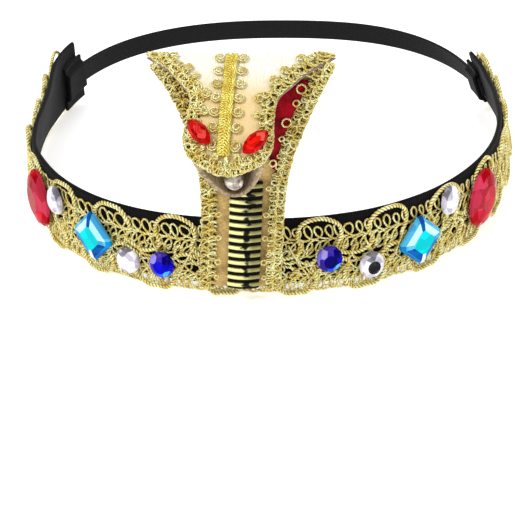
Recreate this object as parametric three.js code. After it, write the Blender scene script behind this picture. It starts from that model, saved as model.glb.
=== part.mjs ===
// Egyptian queen headband: a black band dressed with gold cord lace and cut stones, an elastic
// strap round the back, and a cloth cobra rearing at the front.
// Millimetres, +Z up. The wearer looks along -Y, and the lace's lower scallops stand on z = 0.
import * as THREE from 'three';

const { lerp, clamp, smoothstep, degToRad } = THREE.MathUtils;

// Head ring: the line round the wearer's head on which the band's wall is centred
const RING_WIDTH = 166.5;
const RING_DEPTH = 181.4;
const RING_SQUARENESS = 2.325; // exponent of the oval, where 2 is an ellipse
const RING_BACK_FLARE = 0.059; // share by which the oval is wider behind than in front
const RING_END_FLARE = 0.02; // share by which both ends of the oval are wider
const RING_STEPS = 4000; // divisions used to measure along the ring

// The band's top leans in near its ends: the lean in degrees on each side, and the distances from the
// front at which it starts, is full, begins to fade and is gone
const END_LEAN = {
  left: { degrees: 13, start: 90, full: 130, fade: 135, gone: 182 },
  right: { degrees: 20, start: 95, full: 175, fade: 175, gone: 255 },
};
const LEAN_PIVOT = 8; // height about which the band leans

// Clearance kept between pieces that are sewn or glued together
const GAP = 0.4;

// Black band
const BAND_LENGTH = 365;
const BAND_WALL = 1.6;
const BAND_LOW = 3;
const BAND_HIGH = 26;
const BAND_RIGHT_DROP = 2; // by which the top edge sinks towards the right end
const BAND_CELLS = 61; // an odd number leaves one cell facing straight ahead
const BAND_ROWS = 4;

// Gold lace on the band's outside: one arc along the top and one along the bottom in each repeat
const LACE_PITCH = 21.2;
const LACE_HALF = 184; // length from the front to either end
const LACE_THICK = 1.8;
const LACE_HIGH = 26;
const LACE_ARC_HALF = 6.5;
const LACE_ARC_RISE = 3.4;
const LACE_FLAT_HALF = 1.1; // half of the level part at the middle of an arc
const LACE_PICOT_DIP = 1.3; // how far the edge dips between the small loops
const LACE_PICOTS = 3;
const LACE_LOW_SHIFT = -7.3; // the bottom arcs lie this far along from the top ones
const LACE_ARC_SHARES = [0.55, 0.85, 1]; // corners of an arc, as shares of its half width
const LACE_HOLE_SIDES = 7;
const LACE_START = -11.9; // where a repeat starts, from its top arc's middle: no gap crosses it
const JOINT_TOLERANCE = 0.001;
// Gaps in each repeat: place along the lace from the top arc's middle, height, and half sizes
const LACE_HOLES = [
  { along: 0, height: 22.1, halfLong: 4.0, halfTall: 1.5 },
  { along: -7.3, height: 3.9, halfLong: 4.0, halfTall: 1.6 },
  { along: -5.6, height: 16.2, halfLong: 2.5, halfTall: 2.1 },
  { along: 3.9, height: 16.8, halfLong: 2.9, halfTall: 1.9 },
  { along: 0.6, height: 10.6, halfLong: 2.7, halfTall: 2.3 },
  { along: 6.4, height: 9.6, halfLong: 2.4, halfTall: 2.4 },
];

// Elastic and the ribbon tabs that hold its ends on the band's inside
const ELASTIC_THICK = 1.2;
const ELASTIC_LOW = 8.6;
const ELASTIC_HIGH = 16.6;
const ELASTIC_CELLS = 44;
const ELASTIC_OVERLAP = 9; // length of each end lying on the band
const TABS = { left: { length: 16, low: 3.4 }, right: { length: 11, low: 6 } };
const TAB_PAST_END = 1.6;
const TAB_THICK = 1.2;
const TAB_HIGH = 20.5;
const TAB_SLOPE = 1.8; // height over which a tab rises to pass over the elastic

// Cobra hood: an upright sheet standing on the lace at the front. Each row gives a height, the half
// width there, and how far the sheet's middle line lies to the wearer's left of the band's.
const HOOD_THICK = 2.5;
const HOOD_ROWS = [
  { height: 5.8, half: 12.3, aside: -2.0 },
  { height: 20, half: 12.1, aside: -0.95 },
  { height: 35, half: 12.2, aside: -0.05 },
  { height: 44, half: 13.0, aside: 0.45 },
  { height: 52, half: 14.6, aside: 0.95 },
  { height: 61, half: 17.5, aside: 1.5 },
  { height: 70, half: 21.3, aside: 1.7 },
  { height: 76.6, half: 24.9, aside: 1.3 },
];
const HOOD_EDGE_STEPS = 16;

// Red velvet petals in the wings: outline from the low tip round the inner side, the top and back
const PETAL_THICK = 0.8;
const PETAL_OUTLINE = [
  { across: 7.2, height: 46.5 },
  { across: 5.2, height: 57 },
  { across: 7.0, height: 67.5 },
  { across: 15.8, height: 73.0 },
  { across: 11.7, height: 64.5 },
  { across: 8.3, height: 54.5 },
];
const PETAL_STEPS = 24;

// Ribbed belly strip
const BELLY_HALF = 4.75;
const BELLY_LOW = 6.2;
const BELLY_ASIDE = 0.95; // from the hood's middle line
const BELLY_RIB_PITCH = 2.57;
const BELLY_RIBS = 14;
// One rib's side view: share of the pitch from its low side, and thickness there
const BELLY_RIB_SHAPE = [
  { share: 0, thick: 1.0 },
  { share: 0.3, thick: 1.0 },
  { share: 0.5, thick: 2.2 },
  { share: 0.8, thick: 2.2 },
];

// Cobra head: a sheet sloping forward from the hood's top to the snout. Each row gives the
// distance ahead of the ring's centre, the height of the sheet's edge and its half width.
const HEAD_THICK = 2.4;
const HEAD_CROWN = 1.0; // how far the middle stands above the edges
const HEAD_ASIDE = { back: 0.85, snout: -1.3 }; // how far its middle line lies to the wearer's left
const HEAD_TWIST = 0.07; // slope down to the wearer's left that the head takes on towards the snout
const HEAD_ROWS = [
  { ahead: 96.0, height: 79.7, half: 25.8 },
  { ahead: 100.7, height: 77.7, half: 19.2 },
  { ahead: 105.1, height: 75.6, half: 15.0 },
  { ahead: 109.0, height: 73.6, half: 11.8 },
  { ahead: 115.0, height: 70.1, half: 11.4 },
  { ahead: 119.0, height: 67.3, half: 11.9 },
  { ahead: 121.3, height: 64.7, half: 11.5 },
  { ahead: 122.9, height: 62.0, half: 9.6 },
  { ahead: 124.0, height: 59.9, half: 5.7 },
  { ahead: 124.6, height: 58.6, half: 2.4 },
];
const HEAD_CELLS_ALONG = 22;
const HEAD_CELLS_ACROSS = 10;
const HEAD_LENGTH_STEPS = 20; // divisions between two rows, used to measure along the head

// Gold curly braids: flat strips whose edges bulge in small loops
const BRAID_LOOP_PITCH = 3.8;
const BRAID_CELLS_PER_LOOP = 4;
const BRAID_EDGE = 0.3; // kept from the sheet's edge
const BRAID_PATH_STEPS = 48;
const HOOD_BRAID_HIGH = 73.6; // the hood's braids end here, below the head
const HOOD_BRAID = { width: 4.4, thick: 1.8, outerLoop: 0, innerLoop: 1.0 };
const HEAD_BRAID = { width: 3.9, thick: 1.6, outerLoop: 0, innerLoop: 0.9 };
const CROWN_BRAID = { width: 7.4, thick: 1.4, outerLoop: 0.9, innerLoop: 0.9 };
const CROWN_START = 0.8;
const CROWN_END_CLEAR = 7.0; // distance of the middle braid's end from the snout's tip
const CROWN_ASIDE = { back: -2.0, snout: -0.8 }; // how far it lies from the head's middle line

// Lower jaw: a trough under the head, open at the front as the mouth
const JAW_WALL = 2;
const JAW_BACK = { ahead: 98.5, half: 8.6, top: 75.2 };
const JAW_FRONT = { ahead: 119, half: 10.4, top: 63.2 };
const JAW_LOW = 44;
const JAW_CHIN_AHEAD = 110;
const JAW_LIP_HEIGHT = 58.5; // above this the front rim no longer slopes forward
const JAW_POINTED = 1.7; // exponent of the trough's section, where 1 is half an ellipse
const JAW_ASIDE = -0.9; // how far its middle lies to the wearer's left
const JAW_CELLS_ALONG = 5;
const JAW_CELLS_ACROSS = 16;

// Silver bead in the mouth
const BEAD_RADIUS = 2.8;
const BEAD_PLACE = { across: -0.6, ahead: 111.4, height: 50.2 };

// Eyes: red pointed ovals glued on the head's braid
const EYE_LONG = 8.6;
const EYE_WIDE = 4.6;
const EYE_GIRDLE = 0.8;
const EYE_CROWN = 1.2;
const EYE_FACET_IN = 1.2;
const EYE_ACROSS = 7.3;
const EYE_AHEAD = { left: 119.3, right: 120.3 };
const EYE_TURN = degToRad(44);

// Ways of cutting: heights of the girdle, the belt and the table above the flat back, and the
// shares of the stone's half size that the belt and the table have
const SMALL_CUT = { girdle: 0.9, belt: 1.8, top: 2.5, beltShare: 0.84, tableShare: 0.52 };
const SQUARE_CUT = { girdle: 0.9, belt: 1.8, top: 2.5, beltShare: 0.84, tableShare: 0.5 };
const DOMED_CUT = { girdle: 1.0, belt: 2.3, top: 3.3, beltShare: 0.84, tableShare: 0.5 };
// Stones by kind: half sizes along the band and upright, number of sides, and cut
const STONES = {
  blue_round: { halfWide: 3.95, halfTall: 4.4, sides: 8, cut: SMALL_CUT },
  clear_round: { halfWide: 4.0, halfTall: 4.5, sides: 8, cut: SMALL_CUT },
  aqua_square: { halfWide: 8.4, halfTall: 9.2, sides: 4, cut: SQUARE_CUT },
  clear_oval: { halfWide: 3.5, halfTall: 5.0, sides: 10, cut: SMALL_CUT },
  red_oval: { halfWide: 7.7, halfTall: 10.0, sides: 12, cut: DOMED_CUT },
};
// Where each stone sits: distance along the ring from the front, height, and its turn in degrees
const STONE_PLACES = [
  { kind: 'blue_round', side: 'left', along: -25.5, height: 9.9, turn: 0 },
  { kind: 'clear_round', side: 'left', along: -36.5, height: 9.1, turn: 0 },
  { kind: 'aqua_square', side: 'left', along: -48.9, height: 13.8, turn: -1 },
  { kind: 'clear_oval', side: 'left', along: -66.0, height: 19.8, turn: 0 },
  { kind: 'red_oval', side: 'left', along: -78.6, height: 14.6, turn: 0 },
  { kind: 'blue_round', side: 'right', along: 24.0, height: 13.1, turn: 0 },
  { kind: 'clear_round', side: 'right', along: 36.7, height: 8.7, turn: 0 },
  { kind: 'aqua_square', side: 'right', along: 52.7, height: 12.6, turn: 4 },
  { kind: 'clear_oval', side: 'right', along: 63.9, height: 22.3, turn: 0 },
  { kind: 'red_oval', side: 'right', along: 81.5, height: 15.1, turn: 0 },
];

// Distances outward from the ring to each layer, and ahead of its centre to the hood's faces
const LACE_INNER = BAND_WALL / 2 + GAP;
const STONE_BACK = LACE_INNER + LACE_THICK + GAP;
const HOOD_BACK = RING_DEPTH / 2 + STONE_BACK;
const HOOD_FRONT = HOOD_BACK + HOOD_THICK;
const ELASTIC_OUTER = -BAND_WALL / 2 - GAP;
const ELASTIC_INNER = ELASTIC_OUTER - ELASTIC_THICK;

// The ring's centre lies behind the origin, which is under the middle of the whole object
const SNOUT_REACH = 127.3;
const BACK_REACH = RING_DEPTH / 2 + ELASTIC_OUTER;
const RING_CENTRE_Y = (SNOUT_REACH - BACK_REACH) / 2;

const MATERIALS = {
  felt: { color: 0x1c1a1c, roughness: 0.95, metalness: 0 },
  elastic: { color: 0x151416, roughness: 0.8, metalness: 0 },
  goldCord: { color: 0xc8ab4c, roughness: 0.4, metalness: 0.7 },
  yellowCord: { color: 0xe8d45a, roughness: 0.45, metalness: 0.5 },
  creamCloth: { color: 0xe8d3a0, roughness: 0.8, metalness: 0 },
  tanCloth: { color: 0xc9a262, roughness: 0.85, metalness: 0 },
  taupeCloth: { color: 0x9a8878, roughness: 0.85, metalness: 0 },
  redVelvet: { color: 0x9c0820, roughness: 0.95, metalness: 0 },
  ribbed: { color: 0x8f8a4a, roughness: 0.5, metalness: 0.3 },
  silver: { color: 0xd8d2d6, roughness: 0.25, metalness: 0.6 },
  redStone: { color: 0xd01e2e, roughness: 0.08, metalness: 0.1 },
  blue_round: { color: 0x1010b8, roughness: 0.08, metalness: 0.1 },
  clear_round: { color: 0xe4e4ea, roughness: 0.08, metalness: 0.2 },
  aqua_square: { color: 0x28c8e8, roughness: 0.08, metalness: 0.1 },
  clear_oval: { color: 0xe4e4ea, roughness: 0.08, metalness: 0.2 },
  red_oval: { color: 0xc01838, roughness: 0.08, metalness: 0.1 },
};

const headband = new THREE.Group();

function addMesh(name, geometry, material) {
  const mesh = new THREE.Mesh(geometry, new THREE.MeshStandardMaterial(MATERIALS[material]));
  mesh.name = name;
  headband.add(mesh);
  return mesh;
}

// The ring as a closed curve that starts at the back and passes the front half way round.
class HeadRing extends THREE.Curve {
  getPoint(t, target = new THREE.Vector3()) {
    const angle = (t - 0.5) * 2 * Math.PI;
    const power = 2 / RING_SQUARENESS;
    const sine = Math.sin(angle);
    const cosine = Math.cos(angle);
    const across = Math.sign(sine) * Math.abs(sine) ** power;
    const behind = -Math.sign(cosine) * Math.abs(cosine) ** power;
    const flare = 1 + RING_BACK_FLARE * behind + RING_END_FLARE * behind ** 2;
    return target.set((across * flare * RING_WIDTH) / 2, RING_CENTRE_Y + (behind * RING_DEPTH) / 2, 0);
  }
}
const ring = new HeadRing();
ring.arcLengthDivisions = RING_STEPS;
const RING_LENGTH = ring.getLength();

// A frame on the ring: its point, the way along it to the wearer's left, and the way outward.
function ringFrame(along) {
  const share = 0.5 + along / RING_LENGTH;
  const turn = share - Math.floor(share);
  const point = ring.getPointAt(turn);
  const tangent = ring.getTangentAt(turn);
  const outward = new THREE.Vector3(tangent.y, -tangent.x, 0);
  return { point, tangent, outward };
}

// The angle by which the band leans in at a distance along the ring.
function leanAt(along) {
  const turn = along > RING_LENGTH / 2 ? along - RING_LENGTH : along;
  const { degrees, start, full, fade, gone } = turn < 0 ? END_LEAN.left : END_LEAN.right;
  const distance = Math.abs(turn);
  return degToRad(degrees) * smoothstep(distance, start, full) * (1 - smoothstep(distance, fade, gone));
}

function onRing(along, height, outwardBy) {
  const { point, outward } = ringFrame(along);
  const lean = leanAt(along);
  const above = height - LEAN_PIVOT;
  const reach = outwardBy * Math.cos(lean) - above * Math.sin(lean);
  const leant = LEAN_PIVOT + above * Math.cos(lean) + outwardBy * Math.sin(lean);
  return point.addScaledVector(outward, reach).setZ(leant);
}

// Carries every corner of a shape to its place.
function bend(geometry, place) {
  const corners = geometry.getAttribute('position');
  for (let i = 0; i < corners.count; i += 1) {
    const moved = place(corners.getX(i), corners.getY(i), corners.getZ(i));
    corners.setXYZ(i, moved.x, moved.y, moved.z);
  }
  return geometry;
}

// A sheet made of cells: place takes the shares, from 0 to 1, along, across and through it.
function bentSheet(cellsAlong, cellsAcross, place) {
  const block = new THREE.BoxGeometry(1, 1, 1, cellsAlong, cellsAcross, 1);
  return bend(block.translate(0.5, 0.5, 0.5), place);
}

// A flat outline of even thickness, carried to its place.
function bentPlate(shape, thick, place) {
  return bend(new THREE.ExtrudeGeometry(shape, { depth: thick, bevelEnabled: false }), place);
}

// Black band
function bandGeometry() {
  return bentSheet(BAND_CELLS, BAND_ROWS, (share, up, out) => {
    const along = (share - 0.5) * BAND_LENGTH;
    const top = BAND_HIGH - BAND_RIGHT_DROP * smoothstep(along, END_LEAN.right.start, END_LEAN.right.full);
    return onRing(along, lerp(BAND_LOW, top, up), (out - 0.5) * BAND_WALL);
  });
}

// How far the lace's edge stands back from its outermost line, by distance from the nearest arc.
function laceEdge(along) {
  const distance = Math.abs(along - LACE_PITCH * Math.round(along / LACE_PITCH));
  if (distance <= LACE_FLAT_HALF) {
    return 0;
  }
  if (distance <= LACE_ARC_HALF) {
    const share = (distance - LACE_FLAT_HALF) / (LACE_ARC_HALF - LACE_FLAT_HALF);
    return LACE_ARC_RISE * (1 - Math.sqrt(1 - share ** 2));
  }
  const between = (distance - LACE_ARC_HALF) / (LACE_PITCH - 2 * LACE_ARC_HALF);
  return LACE_ARC_RISE - LACE_PICOT_DIP * Math.abs(Math.sin(between * LACE_PICOTS * Math.PI));
}

// Distances from an arc's middle at which its edge has a corner: the arc first, then the loops.
function laceStations() {
  const arc = [LACE_FLAT_HALF, ...LACE_ARC_SHARES.map((share) => share * LACE_ARC_HALF)];
  const loopStep = (LACE_PITCH - 2 * LACE_ARC_HALF) / (2 * LACE_PICOTS);
  const stations = [...arc.map((distance) => -distance).reverse(), ...arc];
  for (let i = 1; i < 2 * LACE_PICOTS; i += 1) {
    stations.push(LACE_ARC_HALF + i * loopStep);
  }
  return stations;
}

// The points of one edge between two places along the lace, with the edge's arcs moved by shift.
function laceEdgePoints(shift, from, to) {
  const places = [from, to];
  const nearest = Math.round(from / LACE_PITCH);
  for (let repeat = nearest - 1; repeat <= nearest + 2; repeat += 1) {
    for (const station of laceStations()) {
      places.push(repeat * LACE_PITCH + shift + station);
    }
  }
  return places
    .filter((along) => along >= from && along <= to)
    .sort((a, b) => a - b)
    .map((along) => new THREE.Vector2(along, laceEdge(along - shift)));
}

// One repeat of the lace in the flat, between two places along it, with the gaps that fit
function laceShape(centre, from, to) {
  const low = laceEdgePoints(LACE_LOW_SHIFT, from, to);
  const high = laceEdgePoints(0, from, to).reverse();
  const top = high.map((point) => new THREE.Vector2(point.x, LACE_HIGH - point.y));
  const shape = new THREE.Shape([...low, ...top]);
  for (const hole of LACE_HOLES) {
    const along = centre + hole.along;
    if (along - hole.halfLong > from + GAP && along + hole.halfLong < to - GAP) {
      const oval = new THREE.EllipseCurve(along, hole.height, hole.halfLong, hole.halfTall);
      shape.holes.push(new THREE.Path(oval.getPoints(LACE_HOLE_SIDES).slice(0, -1)));
    }
  }
  return shape;
}

// The repeats follow one another, and the walls at which two of them meet are left out.
function laceGeometry() {
  const corners = [];
  const repeats = Math.round(LACE_HALF / LACE_PITCH);
  for (let repeat = -repeats; repeat <= repeats; repeat += 1) {
    const centre = repeat * LACE_PITCH;
    const from = Math.max(centre + LACE_START, -LACE_HALF);
    const to = Math.min(centre + LACE_START + LACE_PITCH, LACE_HALF);
    const joints = [from, to].filter((joint) => Math.abs(joint) < LACE_HALF);
    const shape = laceShape(centre, from, to);
    const plate = new THREE.ExtrudeGeometry(shape, { depth: LACE_THICK, bevelEnabled: false });
    const flat = plate.getAttribute('position').array;
    for (let i = 0; i < flat.length; i += 9) {
      const triangle = Array.from(flat.slice(i, i + 9));
      const places = [triangle[0], triangle[3], triangle[6]];
      const lieAt = (joint) => places.every((along) => Math.abs(along - joint) < JOINT_TOLERANCE);
      if (!joints.some(lieAt)) {
        corners.push(...triangle);
      }
    }
  }
  const lace = new THREE.BufferGeometry();
  lace.setAttribute('position', new THREE.Float32BufferAttribute(corners, 3));
  return bend(lace, (along, height, out) => onRing(along, height, LACE_INNER + out));
}

// Elastic and end tabs
function elasticGeometry() {
  const start = BAND_LENGTH / 2 - ELASTIC_OVERLAP;
  const end = RING_LENGTH - start;
  return bentSheet(ELASTIC_CELLS, 1, (along, up, out) => {
    const height = lerp(ELASTIC_LOW, ELASTIC_HIGH, up);
    return onRing(lerp(start, end, along), height, lerp(ELASTIC_INNER, ELASTIC_OUTER, out));
  });
}

// A tab lies on the band's inside and rises over the elastic. Rows give height and that rise.
function tabGeometry(side, sign) {
  const { length, low } = TABS[side];
  const over = ELASTIC_THICK + GAP;
  const rows = [
    { height: low, rise: 0 },
    { height: ELASTIC_LOW - GAP - TAB_SLOPE, rise: 0 },
    { height: ELASTIC_LOW - GAP, rise: over },
    { height: ELASTIC_HIGH + GAP, rise: over },
    { height: ELASTIC_HIGH + GAP + TAB_SLOPE, rise: 0 },
    { height: TAB_HIGH, rise: 0 },
  ];
  const outside = BAND_LENGTH / 2 + TAB_PAST_END;
  const ends = [sign * outside, sign * (outside - length)].sort((a, b) => a - b);
  return bentSheet(3, rows.length - 1, (along, up, out) => {
    const row = rows[Math.round(up * (rows.length - 1))];
    const offset = ELASTIC_OUTER - row.rise - (1 - out) * TAB_THICK;
    return onRing(lerp(ends[0], ends[1], along), row.height, offset);
  });
}

const hoodAside = new THREE.CubicInterpolant(
  HOOD_ROWS.map((row) => row.height),
  HOOD_ROWS.map((row) => row.aside),
  1,
);

// A point on the hood's front: across from its middle line, height and distance off the cloth
function onHood(across, height, lift) {
  const aside = hoodAside.evaluate(height)[0];
  return new THREE.Vector3(aside + across, RING_CENTRE_Y - HOOD_FRONT - lift, height);
}

const hoodEdge = new THREE.SplineCurve(HOOD_ROWS.map((row) => new THREE.Vector2(row.half, row.height)));

function hoodGeometry() {
  const right = hoodEdge.getPoints(HOOD_EDGE_STEPS);
  const left = right.map((point) => new THREE.Vector2(-point.x, point.y)).reverse();
  const shape = new THREE.Shape([...right, ...left]);
  return bentPlate(shape, HOOD_THICK, (across, height, out) => onHood(across, height, out - HOOD_THICK));
}

function petalGeometry(sign) {
  const outline = PETAL_OUTLINE.map((point) => new THREE.Vector3(sign * point.across, point.height, 0));
  const loop = new THREE.CatmullRomCurve3(outline, true);
  const points = loop.getPoints(PETAL_STEPS).slice(0, -1);
  const shape = new THREE.Shape(points.map((point) => new THREE.Vector2(point.x, point.y)));
  return bentPlate(shape, PETAL_THICK, (across, height, out) => onHood(across, height, GAP + out));
}

// The strip's side view, thickness by height, is drawn once and carried across the strip.
function bellyGeometry() {
  const high = BELLY_LOW + BELLY_RIBS * BELLY_RIB_PITCH;
  const outline = [new THREE.Vector2(0, BELLY_LOW)];
  for (let rib = 0; rib < BELLY_RIBS; rib += 1) {
    for (const { share, thick } of BELLY_RIB_SHAPE) {
      outline.push(new THREE.Vector2(thick, BELLY_LOW + (rib + share) * BELLY_RIB_PITCH));
    }
  }
  outline.push(new THREE.Vector2(BELLY_RIB_SHAPE[0].thick, high), new THREE.Vector2(0, high));
  const shape = new THREE.Shape(outline);
  return bentPlate(shape, 2 * BELLY_HALF, (thick, height, across) =>
    onHood(BELLY_ASIDE + BELLY_HALF - across, height, GAP + thick));
}

// The head's side view as a curve, with the half width measured along it
const headProfile = new THREE.CatmullRomCurve3(
  HEAD_ROWS.map((row) => new THREE.Vector3(0, RING_CENTRE_Y - row.ahead, row.height)),
);
headProfile.arcLengthDivisions = (HEAD_ROWS.length - 1) * HEAD_LENGTH_STEPS;
const headLengths = headProfile.getLengths();
const HEAD_LENGTH = headProfile.getLength();
const headHalf = new THREE.CubicInterpolant(
  HEAD_ROWS.map((row, index) => headLengths[index * HEAD_LENGTH_STEPS]),
  HEAD_ROWS.map((row) => row.half),
  1,
);

function headHalfAt(along) {
  return headHalf.evaluate(clamp(along, 0, HEAD_LENGTH))[0];
}

function headFrame(along) {
  const share = clamp(along / HEAD_LENGTH, 0, 1);
  const point = headProfile.getPointAt(share);
  const forward = headProfile.getTangentAt(share);
  const up = new THREE.Vector3(0, forward.z, -forward.y);
  return { point, forward, up };
}

// A point on the head's upper face: distance along from the back edge, across from the middle line,
// and off the cloth
function onHead(along, across, lift) {
  const { point, up } = headFrame(along);
  const share = along / HEAD_LENGTH;
  const crown = HEAD_CROWN * Math.max(0, 1 - (across / headHalfAt(along)) ** 2);
  point.addScaledVector(up, crown + lift);
  const aside = lerp(HEAD_ASIDE.back, HEAD_ASIDE.snout, share);
  return point.add(new THREE.Vector3(aside + across, 0, -across * HEAD_TWIST * share));
}

function headGeometry() {
  return bentSheet(HEAD_CELLS_ALONG, HEAD_CELLS_ACROSS, (along, across, up) => {
    const length = along * HEAD_LENGTH;
    return onHead(length, (2 * across - 1) * headHalfAt(length), (up - 1) * HEAD_THICK);
  });
}

// Moves a flat curve to its left by an even distance.
function insetCurve(curve, inset, count) {
  const points = [];
  for (let i = 0; i <= count; i += 1) {
    const point = curve.getPointAt(i / count);
    const tangent = curve.getTangentAt(i / count);
    points.push(new THREE.Vector2(point.x - tangent.y * inset, point.y + tangent.x * inset));
  }
  return new THREE.SplineCurve(points);
}

// A braid along a flat curve. Its left edge bulges by innerLoop and its right edge by outerLoop.
function braidGeometry(curve, braid, place) {
  const loops = Math.round(curve.getLength() / BRAID_LOOP_PITCH);
  return bentSheet(loops * BRAID_CELLS_PER_LOOP, 1, (along, across, up) => {
    const point = curve.getPointAt(along);
    const tangent = curve.getTangentAt(along);
    const bulge = Math.abs(Math.sin(along * loops * Math.PI));
    const inner = braid.width / 2 + bulge * braid.innerLoop;
    const outer = -braid.width / 2 - bulge * braid.outerLoop;
    const edge = lerp(outer, inner, across);
    return place(point.x - tangent.y * edge, point.y + tangent.x * edge, GAP + up * braid.thick);
  });
}

function hoodBraidGeometry(sign) {
  const points = hoodEdge
    .getPoints(BRAID_PATH_STEPS)
    .filter((point) => point.y < HOOD_BRAID_HIGH)
    .map((point) => new THREE.Vector2(sign * point.x, point.y));
  const edge = new THREE.SplineCurve(sign > 0 ? points : points.reverse());
  const middle = insetCurve(edge, BRAID_EDGE + HOOD_BRAID.width / 2, BRAID_PATH_STEPS);
  return braidGeometry(middle, HOOD_BRAID, onHood);
}

// The head's outline in the flat: left edge to the snout, then back along the right edge
function headBraidGeometry() {
  const left = [];
  for (let i = 0; i <= HEAD_CELLS_ALONG; i += 1) {
    const along = (i / HEAD_CELLS_ALONG) * HEAD_LENGTH;
    left.push(new THREE.Vector2(along, -headHalfAt(along)));
  }
  const right = left.map((point) => new THREE.Vector2(point.x, -point.y)).reverse();
  const edge = new THREE.SplineCurve([...left, ...right]);
  const middle = insetCurve(edge, BRAID_EDGE + HEAD_BRAID.width / 2, BRAID_PATH_STEPS);
  return braidGeometry(middle, HEAD_BRAID, onHead);
}

function crownBraidGeometry() {
  const start = new THREE.Vector2(CROWN_START, CROWN_ASIDE.back);
  const end = new THREE.Vector2(HEAD_LENGTH - CROWN_END_CLEAR, CROWN_ASIDE.snout);
  return braidGeometry(new THREE.LineCurve(start, end), CROWN_BRAID, onHead);
}

// The trough's section hangs from the head's sides, and its front rim slopes back to the chin.
function jawGeometry() {
  return bentSheet(JAW_CELLS_ALONG, JAW_CELLS_ACROSS, (along, across, inside) => {
    const angle = across * Math.PI;
    const half = lerp(JAW_BACK.half, JAW_FRONT.half, along) - inside * JAW_WALL;
    const top = lerp(JAW_BACK.top, JAW_FRONT.top, along);
    const depth = top - JAW_LOW - inside * JAW_WALL;
    const height = top - depth * Math.sin(angle) ** JAW_POINTED;
    const lip = clamp((height - JAW_LOW) / (JAW_LIP_HEIGHT - JAW_LOW), 0, 1);
    const rim = lerp(JAW_CHIN_AHEAD, JAW_FRONT.ahead, lip);
    const ahead = lerp(JAW_BACK.ahead, rim, along);
    return new THREE.Vector3(JAW_ASIDE - half * Math.cos(angle), RING_CENTRE_Y - ahead, height);
  });
}

// A pointed oval with a table, a ring of crown facets and a girdle
function eyeGeometry() {
  const half = EYE_LONG / 2;
  const shape = new THREE.Shape();
  shape.moveTo(-half, 0);
  shape.quadraticCurveTo(0, -EYE_WIDE, half, 0);
  shape.quadraticCurveTo(0, EYE_WIDE, -half, 0);
  const settings = {
    depth: EYE_GIRDLE,
    curveSegments: 5,
    bevelThickness: EYE_CROWN,
    bevelSize: EYE_FACET_IN,
    bevelOffset: -EYE_FACET_IN,
    bevelSegments: 1,
  };
  return new THREE.ExtrudeGeometry(shape, settings);
}

function addEye(side, sign) {
  const along = headLengths[Math.round(headProfile.arcLengthDivisions * headShareAhead(EYE_AHEAD[side]))];
  const { forward } = headFrame(along);
  const mesh = addMesh(`eye_${side}`, eyeGeometry(), 'redStone');
  const across = new THREE.Vector3(1, 0, (-HEAD_TWIST * along) / HEAD_LENGTH).normalize();
  const up = new THREE.Vector3().crossVectors(forward, across).normalize();
  const ahead = new THREE.Vector3().crossVectors(across, up);
  const basis = new THREE.Matrix4().makeBasis(ahead, across, up);
  mesh.quaternion.setFromRotationMatrix(basis);
  mesh.rotateZ(-sign * EYE_TURN);
  mesh.position.copy(onHead(along, sign * EYE_ACROSS, 2 * GAP + HEAD_BRAID.thick + EYE_CROWN));
}

// Share of the head's curve at which it lies a given distance ahead of the ring's centre
function headShareAhead(ahead) {
  const row = HEAD_ROWS.findIndex((next) => next.ahead > ahead);
  const before = HEAD_ROWS[row - 1];
  const part = (ahead - before.ahead) / (HEAD_ROWS[row].ahead - before.ahead);
  return (row - 1 + part) / (HEAD_ROWS.length - 1);
}

// A stone turned about its own axis: flat back, girdle, belt facets, crown facets and table
function stoneGeometry({ sides, cut }) {
  const profile = [
    new THREE.Vector2(0, 0),
    new THREE.Vector2(1, 0),
    new THREE.Vector2(1, cut.girdle),
    new THREE.Vector2(cut.beltShare, cut.belt),
    new THREE.Vector2(cut.tableShare, cut.top),
    new THREE.Vector2(0, cut.top),
  ];
  return new THREE.LatheGeometry(profile, sides);
}

function addStone(place) {
  const stone = STONES[place.kind];
  const mesh = addMesh(`${place.kind}_${place.side}`, stoneGeometry(stone), place.kind);
  const { tangent, outward } = ringFrame(place.along);
  const down = new THREE.Vector3(0, 0, -1);
  mesh.quaternion.setFromRotationMatrix(new THREE.Matrix4().makeBasis(tangent, outward, down));
  mesh.rotateY(degToRad(place.turn));
  mesh.scale.set(stone.halfWide, 1, stone.halfTall);
  mesh.position.copy(onRing(place.along, place.height, STONE_BACK));
}

addMesh('base_band', bandGeometry(), 'felt');
addMesh('lace_trim', laceGeometry(), 'goldCord');
addMesh('elastic_strap', elasticGeometry(), 'elastic');
addMesh('cobra_hood', hoodGeometry(), 'tanCloth');
addMesh('belly_strip', bellyGeometry(), 'ribbed');
addMesh('cobra_head', headGeometry(), 'creamCloth');
addMesh('head_braid', headBraidGeometry(), 'goldCord');
addMesh('crown_braid', crownBraidGeometry(), 'yellowCord');
addMesh('lower_jaw', jawGeometry(), 'taupeCloth');
for (const { side, sign } of [{ side: 'left', sign: -1 }, { side: 'right', sign: 1 }]) {
  addMesh(`end_tab_${side}`, tabGeometry(side, sign), 'felt');
  addMesh(`hood_petal_${side}`, petalGeometry(sign), 'redVelvet');
  addMesh(`hood_braid_${side}`, hoodBraidGeometry(sign), 'goldCord');
  addEye(side, sign);
}
STONE_PLACES.forEach(addStone);
const bead = addMesh('mouth_bead', new THREE.SphereGeometry(BEAD_RADIUS, 14, 10), 'silver');
bead.position.set(BEAD_PLACE.across, RING_CENTRE_Y - BEAD_PLACE.ahead, BEAD_PLACE.height);

export default headband;
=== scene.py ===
# Egyptian queen headband: a black ribbon band dressed with gold cord lace and cut stones, an elastic
# strap behind, and a cloth cobra rearing at the front.
# Metres, +Z up. The wearer looks along -Y, and left and right are as seen from the front.
import math

import bmesh
import bpy
import numpy as np
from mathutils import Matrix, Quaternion, Vector


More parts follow.
